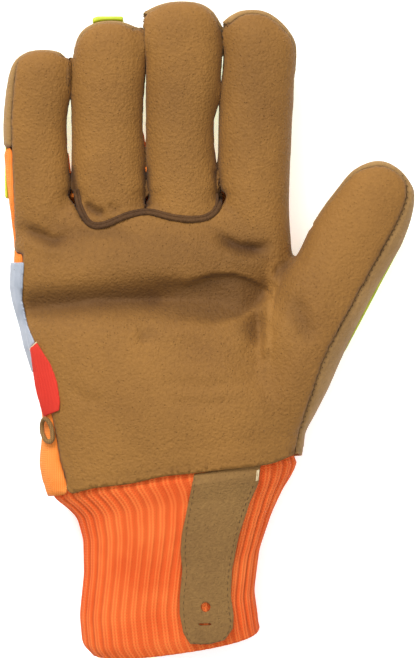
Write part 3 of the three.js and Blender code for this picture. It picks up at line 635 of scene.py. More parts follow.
@dataclass(frozen=True)
class Crease:
    """A fold or dent of the palm side, in the palm's own millimetres, with painted shade in it by its
    dark. A ridge has a negative depth.
    """

    line: tuple[Place, ...]
    depth: float
    width: float
    steep: float = 1.0
    dark: float = 0.0
    taper: float = 4.5

    def at(self, x: float, y: float) -> tuple[float, float]:
        """Works out the crease at a place.

        Args:
            x: The place's X, in millimetres.
            y: The place's Y, in millimetres.

        Returns:
            How far the leather sinks, in millimetres, and how much painted shade it gets.
        """
        xs, ys = zip(*self.line)
        far = 3 * self.width
        if not (min(xs) - far < x < max(xs) + far and min(ys) - far < y < max(ys) + far):
            return 0.0, 0.0
        gap, share, side = from_line(x, y, self.line)
        width = self.width * (self.steep if side > 0 else 1.0)
        ends = min(1.0, self.taper * share + 0.1, self.taper * (1 - share) + 0.1)
        shape = math.exp(-((gap / width) ** 2)) * ends
        return self.depth * shape, self.dark * shape


# What is added to a face's normal for the ways in which it looks out: level, then more up or down.
TILTS = [Vector(way) for way in ((0, 0, 0), (0, 0, 2), (0, 0, -2), (0, 0, 6), (0, 0, -6), (0, 2, 0))]


@dataclass(frozen=True)
class PaintedLightPatch:
    """A soft patch of painted shade on the leather, or of painted light where its amount is negative.
    """

    x: float
    y: float
    wide: float
    tall: float
    amount: float

    def at(self, x: float, y: float) -> float:
        """Gives the patch's amount at a place of the palm, in millimetres."""
        far = ((x - self.x) / self.wide) ** 2 + ((y - self.y) / self.tall) ** 2
        return self.amount * math.exp(-far)


# The hollow under the upper fold: its two edges and its depth in millimetres, and how much painted
# shade it gets.
HOLLOW_TOP = (
    (-30, 78.5), (-14, 79), (1.7, 79.2), (11.8, 81.9), (21, 82.1), (28.5, 79.6), (36.6, 75.4),
)
HOLLOW_FOOT = (
    (-30, 67), (-14, 66.6), (1.7, 64), (11.8, 63), (17.2, 63.8), (23.2, 65.3), (29.2, 68.9),
    (34.6, 72.9),
)
HOLLOW_DEPTH = 3.4
HOLLOW_DARK = 0.5


def hollow_at(x: float, y: float) -> float:
    """Gives the share, from 0 to 1, to which a place of the palm lies in the hollow under the fold."""
    if not (-42 < x < 37 and 58 < y < 86):
        return 0.0
    top, foot = (float(np.interp(x, *zip(*line))) for line in (HOLLOW_TOP, HOLLOW_FOOT))
    crisp = 1.0 + max(0.0, (2.0 - x) / 5)
    soft = 2.0 - 1.2 * min(1.0, max(0.0, (x - 10) / 12))
    above, below = (top - y) / crisp, (y - foot) / (soft * crisp)
    side = min(1.0, (x + 42) / 34)
    return side / ((1 + math.exp(-above * 2)) * (1 + math.exp(-below * 2)))


# Soft patches of painted shade on the palm, and of painted light where the amount is negative: a
# middle, a width and a height in millimetres, an amount.
PAINTED_LIGHT_PATCHES = (
    PaintedLightPatch(-14, 93, 52, 13, 0.26),
    PaintedLightPatch(28, 93, 13, 9, 0.25),
    PaintedLightPatch(-58, 150, 10, 16, 0.08),
    PaintedLightPatch(28, 166, 15, 28, 0.22),
    PaintedLightPatch(-3, 155, 14, 28, 0.16),
    PaintedLightPatch(26, 60, 5, 5, 0.3),
    PaintedLightPatch(37, 66, 2.6, 16, -1.2),
    PaintedLightPatch(33.8, 56, 2.2, 9, -0.3),
    PaintedLightPatch(68, 98, 15, 22, -0.7),
    PaintedLightPatch(-10, 40, 40, 10, -0.5),
    PaintedLightPatch(0, 12, 60, 20, -0.35),
)

# Widths and depths in millimetres, read off the photograph's shading: the lens-shaped fold at the
# thumb's root is steep on its upper side, and the long valley under it crosses the whole palm.
CREASES = (
    Crease(
        ((-71.4, 69.6), (-60, 70.6), (-46, 71.6), (-31.1, 72.3), (-16, 72.6), (-2, 72.8)),
        3.2, 5.6, 1.0, 0.6, 7.0,
    ),
    Crease(((-71, 67.5), (-60, 67.8), (-50, 69), (-38, 70)), 1.4, 2.6, 1.0, 0.35),
    Crease(((1.7, 79.6), (11.8, 82.4), (21, 82.6), (28.5, 80.2), (37.0, 75.6)), 1.2, 1.7, 0.3, 0.55),
    Crease(((36.4, 76.2), (37.8, 80.5), (39.8, 87)), 2.0, 1.6, 1.0, 0.6),
    Crease(
        ((41.6, 86.1), (38.4, 79.6), (36.6, 73), (36.6, 66), (37.4, 60), (36.6, 54), (35, 47)),
        -3.8, 2.9,
    ),
    Crease(
        ((34.2, 72), (34.2, 62), (34.2, 55), (33.9, 46), (33.8, 38)),
        -3.0, 2.2, 1.0, 0.0, 2.2,
    ),
    Crease(((32.6, 67.1), (30.5, 62), (30.4, 56), (31.4, 50.5)), 2.2, 3.2, 1.0, 0.3, 3.0),
    Crease(((24, 52.5), (29.5, 48.6), (35, 45.2)), 0.9, 2.6, 1.0, 0.1),
    Crease(((44.5, 76), (47.5, 68), (50.5, 59.5), (51.5, 52)), 2.2, 4.6, 1.0, 0.28, 3.0),
    Crease(
        ((13.5, 100.5), (17.5, 97), (23.5, 94.5), (30.5, 93.8), (37, 95.8)),
        2.4, 3.0, 0.55, 0.45, 3.0,
    ),
    Crease(((-70.2, 103.9), (-62.6, 100.6), (-54.2, 96.8), (-46.2, 99.3)), 2.4, 3.0, 0.7, 0.45, 3.0),
    Crease(((-70, 98), (-60, 94.5), (-50, 92)), -1.2, 3.5),
    Crease(((17, 91.0), (26, 87.8), (36, 88.5)), -1.2, 3.2),
    Crease(((-20.5, 57.2), (-15.5, 57.0), (-10.1, 60.5)), 1.1, 3.8, 1.0, 0.25, 3.0),
    Crease(((-10.1, 38.6), (6.7, 36), (23.5, 37.3), (32.8, 39.4)), 0.6, 2.8, 1.0, 0.12),
    Crease(((-5.9, 30.2), (8.8, 28.5), (23.5, 30.6)), 0.5, 2.4, 1.0, 0.08),
    Crease(((-47.9, 36.5), (-41.6, 31), (-33.2, 29.3)), 0.7, 2.8, 1.0, 0.15),
    Crease(((-41.2, 113), (-39.2, 110.4), (-36, 108.6), (-32.5, 108.4)), 2.0, 1.7, 1.0, 0.55),
    Crease(((-31.5, 112.5), (-29.5, 110), (-26.5, 109.2)), 0.9, 1.5, 1.0, 0.25),
    Crease(((-16, 128.7), (-15.5, 118.2), (-15.1, 110.6)), 2.2, 1.5, 1.0, 0.8, 9.0),
    Crease(((-47.5, 128.7), (-46.2, 120.3), (-44.5, 112.3)), 2.4, 1.5, 1.0, 0.8, 9.0),
    Crease(((13.4, 127.4), (14.3, 120.3), (15.1, 112.7)), 2.4, 1.5, 1.0, 0.8, 9.0),
)


def palm_form(x: float, y: float) -> tuple[float, float, float]:
    """Works out the folds and the painted light and shade at a place of the palm side.

    Args:
        x: The place's X, in millimetres.
        y: The place's Y, in millimetres.

    Returns:
        How far the leather sinks, in millimetres, how much painted shade the folds give it, and the
        patches' amount of painted shade, or of painted light where negative.
    """
    creases = [crease.at(x, y) for crease in CREASES]
    share = hollow_at(x, y)
    depth = sum(sink for sink, _ in creases) + HOLLOW_DEPTH * share
    dark = max(0.0, HOLLOW_DARK * share, *(dark for _, dark in creases))
    return depth, dark, sum(patch.at(x, y) for patch in PAINTED_LIGHT_PATCHES)


@dataclass
class LeatherShell:
    """The leather and cloth of the hand, cut in panels along their seams from one smooth skin."""

    voxel: float = 1.0 * MM
    fill: float = 0.3
    wall: float = 1.6 * MM
    growth: float = 0.25 * MM
    tuck: tuple[float, ...] = (1.1 * MM, 0.5 * MM, 0.14 * MM)
    smoothing: int = 34
    hem_cut: float = 4.0 * MM
    hem_reach: float = 9.0 * MM
    hem_drop: float = 0.6 * MM
    hem_share: float = 0.96
    finger_reach: float = 7.0
    finger_push: float = 1.3 * MM
    finger_push_fade: float = 6.0
    finger_pull: float = 1.75 * MM
    finger_pull_fade: float = 3.0
    web_middle: Place = (43.5, 98.5)
    web_drop: float = 7.5 * MM
    web_reach: float = 7.5 * MM
    wrist_half_width: float = 56.0 * MM
    wrist_height: float = 43.0 * MM
    label_passes: int = 8
    rim_passes: int = 10
    row_passes: int = 3
    evening: float = 0.5
    hem_clear: float = 1.8 * MM
    faces_up: float = 0.1
    ridge_kept: float = 0.5
    gather: float = 3.0 * MM
    gather_length: float = 14.0 * MM
    gather_from: float = 36.0 * MM
    gather_over: float = 15.0 * MM
    hollow_passes: int = 40
    hollow_depth: float = 1.6 * MM
    hollow_shade: float = 0.55
    hollow_shade_most: float = 0.6
    ridge_wear_and_highlight: float = 1.2
    clear_of_skin: float = 0.4 * MM
    seam_shade: float = 0.5

    def past_wrist(self, place: Vector) -> float:
        """Tells how far a place lies past the wrist seam, towards the cuff, in metres."""
        return (place - on_palm(0, 0)).dot(CUFF_AHEAD)

    def part_fingers(self, places: np.ndarray, distance: float, fade: float) -> None:
        """Moves the fingers' sides away from the slits between them, or back together.

        Args:
            places: The points to move, in metres.
            distance: How far each side moves beside the slit. Negative moves close the slit.
            fade: The length over which the move fades out above a crotch, in millimetres.
        """
        x, y = places[:, 0] / MM - ROOT.x, places[:, 1] / MM - ROOT.y
        for line in SLITS:
            xs, ys = np.array(line[::-1]).T
            aside = x - np.interp(y, ys, xs)
            share = np.clip((y - ys[0]) / fade, 0.0, 1.0)
            near = np.exp(-((aside / self.finger_reach) ** 2))
            places[:, 0] += np.sign(aside) * distance * share * near

    def open_web(self, places: np.ndarray) -> None:
        """Sinks the web between the index finger and the thumb towards the palm."""
        middle = np.array(on_palm(*self.web_middle))
        far = np.hypot(*(places - middle)[:, :2].T)
        places[:, 1] -= self.web_drop * np.exp(-((far / self.web_reach) ** 2))

    def outer_skin(self) -> bmesh.types.BMesh:
        """Builds the hand's outer skin, open at the wrist.

        Returns:
            The skin as a bmesh of even faces, with its painted shade attribute and its attribute of
            wear and painted highlight.
        """
        form = merged_copy((*PANELS, "rolled_seam"), self.growth)
        places = np.array([vert.co for vert in form.verts])
        self.part_fingers(places, self.finger_push, self.finger_push_fade)
        self.open_web(places)
        for vert, place in zip(form.verts, places):
            vert.co = place
        obj = remeshed(object_of("hand_form", form), self.voxel)
        points = Points(obj.data)
        points.relax(self.smoothing, self.fill)
        points.write()
        # Painted shade in the hollows, and painted highlight, partly wear, on the ridges.
        hollow = points.hollows(self.hollow_passes, self.hollow_depth)
        shade = np.clip(hollow * self.hollow_shade, 0.0, self.hollow_shade_most)
        wear_and_highlight = np.clip(-hollow * self.ridge_wear_and_highlight, 0.0, 1.0)
        for name, values in (("shade", shade), ("wear_and_highlight", wear_and_highlight)):
            carried = obj.data.attributes.new(name, "FLOAT", "POINT")
            carried.data.foreach_set("value", values.astype(np.float32))
        bm = bmesh.new()
        bm.from_mesh(obj.data)
        bpy.data.objects.remove(obj)
        past = {face: self.past_wrist(face.calc_center_median()) for face in bm.faces}
        spare = [face for face in bm.faces if past[face] > -self.hem_cut]
        bmesh.ops.delete(bm, geom=spare, context="FACES")
        self.drop_lining(bm)
        bm.normal_update()
        return bm

    def escapes(self, tree: BVHTree, place: Vector, way: Vector) -> bool:
        """Tells whether a ray leaves the hand, other than by the wrist's opening.

        Args:
            tree: A search tree of the skin.
            place: The ray's start.
            way: The ray's direction.

        Returns:
            True if it meets nothing.
        """
        if tree.ray_cast(place, way)[0] is not None:
            return False
        ahead = way.dot(CUFF_AHEAD)
        if ahead <= 0:
            return True
        cross = place + way * ((-self.hem_cut - self.past_wrist(place)) / ahead)
        beside = (cross - on_palm(0, 0)).dot(CUFF_SIDE)
        return not (abs(beside) < self.wrist_half_width and 0 < cross.z < self.wrist_height)

    def drop_lining(self, bm: bmesh.types.BMesh) -> None:
        """Deletes the inner side of the walls: the biggest group of faces that see only other faces."""
        tree = BVHTree.FromBMesh(bm)
        hidden = set()
        for face in bm.faces:
            place = face.calc_center_median() + face.normal * self.clear_of_skin
            if not any(self.escapes(tree, place, face.normal + tilt) for tilt in TILTS):
                hidden.add(face)
        lining = max(self.groups(hidden), key=len)
        bmesh.ops.delete(bm, geom=list(lining), context="FACES")
        outer = max(self.groups(set(bm.faces)), key=len)
        bmesh.ops.delete(bm, geom=[face for face in bm.faces if face not in outer], context="FACES")
        log.info("outer skin: %d faces, lining dropped: %d", len(bm.faces), len(lining))

    def groups(self, faces: set) -> list[set]:
        """Sorts faces into groups that hang together by their edges."""
        left = set(faces)
        found = []
        while left:
            stack = [left.pop()]
            group = set(stack)
            while stack:
                for edge in stack.pop().edges:
                    for face in edge.link_faces:
                        if face in left:
                            left.discard(face)
                            group.add(face)
                            stack.append(face)
            found.append(group)
        return found

    def labels(self, skin: bmesh.types.BMesh) -> list[str]:
        """Names the CAD node that each face stands for, with even borders between them.

        Args:
            skin: The whole skin.

        Returns:
            One name for each face.
        """
        loose = bmesh.new()
        owners = []
        for name in PANELS:
            loose.from_mesh(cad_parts[name].data)
            owners += [name] * (len(loose.faces) - len(owners))
        near = BVHTree.FromBMesh(loose)
        loose.free()
        skin.faces.index_update()
        names = [owners[near.find_nearest(face.calc_center_median())[2]] for face in skin.faces]
        beside = [
            [other.index for edge in face.edges for other in edge.link_faces if other is not face]
            for face in skin.faces
        ]
        border = [i for i, around in enumerate(beside) if any(names[j] != names[i] for j in around)]
        for _ in range(self.label_passes):
            votes = {}
            for i in border:
                around = [names[j] for j in beside[i]]
                best = max(sorted(set(around)), key=around.count)
                if around.count(best) > around.count(names[i]) + 1:
                    votes[i] = best
            for i, name in votes.items():
                names[i] = name
            border = list({j for i in border for j in (i, *beside[i])})
        return names

    def finish_shape(self, skin: bmesh.types.BMesh) -> None:
        """Closes the slits between the fingers, evens the hem and gathers the fabric's end."""
        places = np.array([vert.co for vert in skin.verts])
        self.part_fingers(places, -self.finger_pull, self.finger_pull_fade)
        from_wrist = places - np.array(on_palm(0, 0))
        past, beside = from_wrist @ np.array(CUFF_AHEAD), from_wrist @ np.array(CUFF_SIDE)
        towards_end = np.clip(past / self.gather_length + 1, 0.0, 1.0) ** 2
        towards_side = np.clip((beside - self.gather_from) / self.gather_over, 0.0, 1.0)
        places -= np.array(CUFF_SIDE) * (self.gather * towards_end * towards_side)[:, None]
        for vert, place in zip(skin.verts, places):
            vert.co = place
            past = self.past_wrist(vert.co)
            if past > -self.hem_reach:
                end = self.hem_drop
                if vert.normal.z > 0:
                    end += float(np.interp(vert.co.x / MM - ROOT.x, *zip(*HEM_LINE))) * MM
                share = (past + self.hem_reach) / (self.hem_reach - self.hem_cut)
                share = 1.0 if vert.is_boundary else min(self.hem_share, share)
                vert.co += CUFF_AHEAD * (share * (end + self.hem_reach) - self.hem_reach - past)
        skin.normal_update()

    def build(self) -> BVHTree:
        """Cuts the skin into its panels and dresses each.

        Returns:
            A search tree of the whole smooth skin, for the pieces that lie on it.
        """
        skin = self.outer_skin()
        labels = self.labels(skin)
        self.finish_shape(skin)
        surface = BVHTree.FromBMesh(skin)
        for name in PANELS:
            panel = skin.copy()
            drop = [face for face, label in zip(panel.faces, labels) if label != name]
            bmesh.ops.delete(panel, geom=drop, context="FACES")
            self.finish_panel(panel, name)
        skin.free()
        return surface

    def rings_from_rim(self, bm: bmesh.types.BMesh) -> list[set]:
        """Gives the panel's points beside its seams: the rim itself, then each next row.

        Args:
            bm: The panel.

        Returns:
            One set of points for each depth of the tuck.
        """
        rim = {vert for vert in bm.verts if vert.is_boundary}
        rings = [rim]
        seen = set(rim)
        for _ in self.tuck[1:]:
            fresh = {edge.other_vert(vert) for vert in rings[-1] for edge in vert.link_edges} - seen
            rings.append(fresh)
            seen |= fresh
        return rings

    @staticmethod
    def middle_beside(vert: bmesh.types.BMVert) -> Vector:
        """Gives the middle of a point's neighbours."""
        beside = [edge.other_vert(vert).co for edge in vert.link_edges]
        return sum(beside, Vector()) / len(beside)

    def even_rim(self, rings: list[set]) -> None:
        """Smooths the steps out of a panel's rim, and lets the rows beside it follow."""
        for _ in range(self.rim_passes):
            places = {}
            for vert in rings[0]:
                beside = [edge.other_vert(vert).co for edge in vert.link_edges if edge.is_boundary]
                if len(beside) == 2:
                    places[vert] = vert.co.lerp((beside[0] + beside[1]) / 2, self.evening)
            for vert, place in places.items():
                vert.co = place
        for _ in range(self.row_passes):
            for ring in rings[1:]:
                places = {vert: self.middle_beside(vert) for vert in ring}
                for vert, place in places.items():
                    vert.co = vert.co.lerp(place, self.evening)

    def finish_panel(self, bm: bmesh.types.BMesh, name: str) -> None:
        """Sinks a panel's seams and creases, thickens it and dresses it.

        Args:
            bm: The panel's outer faces.
            name: The CAD node that the panel stands for.
        """
        rings = self.rings_from_rim(bm)
        self.even_rim(rings)
        bm.normal_update()
        shade, wear_and_highlight = bm.verts.layers.float["shade"], bm.verts.layers.float["wear_and_highlight"]
        moves = {}
        for vert in bm.verts:
            up = max(0.0, vert.normal.z)
            if name not in PALM_SIDE or up < self.faces_up:
                continue
            x, y = vert.co.x / MM - ROOT.x, vert.co.y / MM - ROOT.y
            depth, dark, tone = palm_form(x, y)
            moves[vert] = Vector((0, 0, -depth * MM * up))
            # Painted shade from the folds and the patches, and painted highlight where a patch's amount
            # is negative; tone is that painted light and shade.
            vert[shade] = max(0.0, min(1.0, max(vert[shade], dark) + tone))
            worn_and_lit = vert[wear_and_highlight] * self.ridge_kept + max(0.0, -tone) * (1 - vert[shade])
            vert[wear_and_highlight] = min(1.0, worn_and_lit)
        for ring, depth in zip(rings, self.tuck):
            for vert in ring:
                if self.past_wrist(vert.co) > -self.hem_clear:
                    continue
                moves[vert] = moves.get(vert, Vector()) - vert.normal * depth
                vert[shade] = min(1.0, max(vert[shade], self.seam_shade * depth / self.tuck[0]))
        for vert, move in moves.items():
            vert.co += move
        obj = object_of(name + "_skin", bm)
        chart_flat(obj)
        wall = obj.modifiers.new("wall", "SOLIDIFY")
        wall.thickness = self.wall
        wall.offset = -1
        settled(obj)
        finish, slot = PANELS[name]
        dress(obj, finish, (name,))


@dataclass
class WristKnit:
    """The rib-knit wrist: a doubled tube of cloth whose ribs fan from the seam to the mouth."""

    ribs: int = 44
    columns_per_rib: int = 10
    rib_pitch: float = 4.2 * MM
    groove: float = 0.8 * MM
    groove_share: float = 0.13
    cloth: float = 2.6 * MM
    length: float = 70.5 * MM
    rows: int = 64
    lip_rows: int = 6
    inner_rows: int = 14
    probes: int = 360
    probe_reach: float = 90 * MM
    probe_missed: float = 20 * MM
    ring_passes: int = 60
    row_passes: int = 4
    rib_rise: float = 0.45 * MM
    lip_reach: float = 1.1 * MM
    tuck_in: float = 2.4 * MM
    inner_tuck_in: float = 1.6 * MM
    tuck_back: float = 3.6 * MM
    level: float = 19 * MM
    aside: tuple[Place, ...] = (
        (-0.06, 2.6), (0.04, 4.4), (0.1, 3.3), (0.18, 3.6), (0.32, 6.1), (0.52, 10.5),
        (0.76, 14.9), (0.94, 15.2), (1.05, 13.1),
    )
    slant: tuple[Place, ...] = (
        (0.18, 0.0), (0.32, 0.04), (0.52, 0.1), (0.76, 0.18), (0.94, 0.26), (1.0, 0.27),
    )

    def ring(self, tree: BVHTree, along: float) -> np.ndarray:
        """Reads one ring of the CAD wrist's outside and spaces its points evenly.

        Args:
            tree: A search tree of the CAD wrist.
            along: How far the ring lies past the wrist seam, in metres.

        Returns:
            One point for each column.
        """
        share = along / self.length
        aside = float(np.interp(share, *zip(*self.aside))) * MM
        slant = float(np.interp(share, *zip(*self.slant)))
        middle = on_palm(0, 0) + CUFF_AHEAD * along + CUFF_SIDE * aside + Vector((0, 0, self.level))
        rough = []
        for step in range(self.probes):
            turn = 2 * math.pi * step / self.probes
            way = CUFF_SIDE * math.cos(turn) + (Vector((0, 0, 1)) + CUFF_AHEAD * slant) * math.sin(turn)
            hit = tree.ray_cast(middle + way * self.probe_reach, -way)[0]
            rough.append(np.array(hit if hit is not None else middle + way * self.probe_missed))
        closed = np.array(rough + rough[:1])
        lengths = np.concatenate([[0], np.cumsum(np.linalg.norm(np.diff(closed, axis=0), axis=1))])
        count = self.ribs * self.columns_per_rib
        places = np.linspace(0, lengths[-1], count, endpoint=False)
        even = np.stack([np.interp(places, lengths, closed[:, axis]) for axis in range(3)], axis=1)
        for _ in range(self.ring_passes):
            even = 0.5 * even + 0.25 * (np.roll(even, 1, axis=0) + np.roll(even, -1, axis=0))
        return even

    def table(self) -> np.ndarray:
        """Works out every point of the tube: down the outside, round the lip and back inside.

        Returns:
            An array of rows, columns and coordinates.
        """
        bm = merged_copy(("wrist_knit",))
        tree = BVHTree.FromBMesh(bm)
        bm.free()
        steps = np.linspace(0.6 * MM, self.length - 1.2 * MM, self.rows)
        outside = np.array([self.ring(tree, along) for along in steps])
        for _ in range(self.row_passes):
            outside[1:-1] = 0.5 * outside[1:-1] + 0.25 * (outside[:-2] + outside[2:])
        before, after = np.roll(outside, 1, axis=1), np.roll(outside, -1, axis=1)
        down = np.gradient(outside, axis=0)
        outward = np.cross(after - before, down)
        outward /= np.linalg.norm(outward, axis=2)[:, :, None]
        centre = outside.mean(axis=1, keepdims=True)
        outward *= np.sign(((outside - centre) * outward).sum(axis=2).mean())
        column = np.arange(outside.shape[1]) / self.columns_per_rib
        from_groove = np.abs(column % 1.0 - 0.5)
        rib = self.rib_rise - self.groove * np.exp(-((0.5 - from_groove) / self.groove_share) ** 2)
        count = len(steps)
        into = np.clip(1 - np.arange(count) / 2.0, 0.0, 1.0)[:, None, None]
        ahead = np.array(CUFF_AHEAD)
        calm = np.clip((count - 1 - np.arange(count)) / 5.0, 0.3, 1.0)[:, None, None]
        back = ahead * into * self.tuck_back
        shell = outside + outward * (rib[None, :, None] * calm - into * self.tuck_in) - back
        half = self.cloth / 2
        lip = []
        for step in range(1, self.lip_rows):
            turn = math.pi * step / self.lip_rows
            round_edge = ahead * self.lip_reach * math.sin(turn)
            lip.append(shell[-1] - outward[-1] * half * (1 - math.cos(turn)) + round_edge)
        picks = np.linspace(count - 1, 0, self.inner_rows).astype(int)
        inner = outside - outward * (self.cloth + into * self.inner_tuck_in) - back
        return np.array([*shell, *lip, *inner[picks], shell[0]])

    def build(self) -> None:
        """Builds and dresses the knitted wrist."""
        table = self.table()
        rows, columns = table.shape[0] - 1, table.shape[1]
        bm = bmesh.new()
        bmesh.ops.create_grid(bm, x_segments=columns, y_segments=rows, size=1.0)
        chart = bm.loops.layers.uv.new("cloth")
        shade = bm.verts.layers.float.new("shade")
        steps = np.linalg.norm(np.diff(table, axis=0), axis=2).mean(axis=1)
        down = np.concatenate([[0], np.cumsum(steps)])
        keys = {}
        for vert in bm.verts:
            keys[vert] = (round((vert.co.x + 1) / 2 * columns), round((vert.co.y + 1) / 2 * rows))
        for face in bm.faces:
            for loop in face.loops:
                across, row = keys[loop.vert]
                loop[chart].uv = (across / self.columns_per_rib * self.rib_pitch, down[row])
        for vert, (across, row) in keys.items():
            vert.co = table[row][across % columns]
            into = abs(across / self.columns_per_rib % 1.0 - 0.5)
            # Painted shade in the grooves between the ribs.
            vert[shade] = 0.65 * math.exp(-(((0.5 - into) / self.groove_share) ** 2))
        bmesh.ops.remove_doubles(bm, verts=bm.verts, dist=0.001 * MM)
        bmesh.ops.recalc_face_normals(bm, faces=bm.faces)
        dress(object_of("wrist_knit_cloth", bm), WRIST_KNIT, ("wrist_knit",))


def tube(name: str, line: list[Vector], radius: float, closed: bool = False) -> bpy.types.Object:
    """Makes a round cord along a smooth line.

    Args:
        name: The piece's name.
        line: The points that it follows, in metres.
        radius: Its radius, in metres.
        closed: Whether its ends meet.

    Returns:
        A mesh object.
    """
    curve = bpy.data.curves.new(name, "CURVE")
    curve.dimensions = "3D"
    curve.bevel_depth = radius
    curve.bevel_resolution = 3
    curve.resolution_u = 4
    curve.use_fill_caps = True
    spline = curve.splines.new("NURBS")
    spline.points.add(len(line) - 1)
    for point, place in zip(spline.points, line):
        point.co = (*place, 1.0)
    spline.use_endpoint_u = not closed
    spline.use_cyclic_u = closed
    spline.order_u = 3
    holder = bpy.data.objects.new(name, curve)
    bpy.context.scene.collection.objects.link(holder)
    bpy.context.view_layer.update()
    mesh = mesh_of(holder)
    bpy.data.objects.remove(holder)
    obj = bpy.data.objects.new(name, mesh)
    bpy.context.scene.collection.objects.link(obj)
    return obj


def seated(line: tuple[Place, ...], surfaces: tuple[BVHTree, ...], rise: float) -> list[Vector]:
    """Lays a line of the palm's own places on what lies under it.

    Args:
        line: The places, in the palm's own millimetres.
        surfaces: Search trees of what may lie under it.
        rise: How far above it the line runs, in metres.

    Returns:
        The line's points, in metres.
    """
    points = []
    for x, y in line:
        above = on_palm(x, y, 80)
        hits = [tree.ray_cast(above, DOWN)[0] for tree in surfaces]
        level = max((hit.z for hit in hits if hit is not None), default=30 * MM)
        points.append(Vector((above.x, above.y, level + rise)))
    return points


def spaced(line: tuple[Place, ...], step: float) -> list[Place]:
    """Spaces places evenly along a smooth curve through a line's places.

    Args:
        line: The line's places, in millimetres.
        step: The distance between places, in millimetres.

    Returns:
        The new places.
    """
    xy = np.array(line, float)
    for _ in range(2):
        corners = np.repeat(xy, 2, axis=0)[1:-1]
        cut = 0.75 * corners.reshape(-1, 2, 2) + 0.25 * corners.reshape(-1, 2, 2)[:, ::-1]
        xy = np.concatenate([xy[:1], cut.reshape(-1, 2), xy[-1:]])
    run = np.concatenate([[0], np.cumsum(np.hypot(*np.diff(xy, axis=0).T))])
    places = np.arange(0, run[-1], step)
    return list(zip(np.interp(places, run, xy[:, 0]), np.interp(places, run, xy[:, 1])))


def stitches(
    name: str,
    line: tuple[Place, ...],
    surfaces: tuple[BVHTree, ...],
    size: tuple[float, float, float],
    rise: float,
) -> bpy.types.Object:
    """Sews a row of single stitches along a line.

    Args:
        name: The piece's name.
        line: The row's places, in the palm's own millimetres.
        surfaces: Search trees of what is sewn.
        size: The stitch's length, its pitch along the row and its thread's radius, in millimetres.
        rise: How far above the surface the thread's middle runs, in metres.

    Returns:
        One mesh object with all the stitches.
    """
    length, pitch, radius = size
    bm = bmesh.new()
    places = spaced(line, pitch / 2)
    for start, end in zip(places[::2], places[1::2]):
        first, second = seated((start, end), surfaces, rise)
        ball = bmesh.ops.create_uvsphere(bm, u_segments=6, v_segments=6, radius=1.0)["verts"]
        run = second - first
        turn = run.to_track_quat("Z", "Y").to_matrix()
        middle = (first + second) / 2
        for vert in ball:
            vert.co = middle + turn @ (vert.co * Vector((radius, radius, length / 2)) * MM)
    return object_of(name, bm)


@dataclass(frozen=True)
class Form:
    """How a CAD node's copy is made anew: the size of its faces, its smoothing and its filling."""

    voxel: float
    passes: int
    fill: float


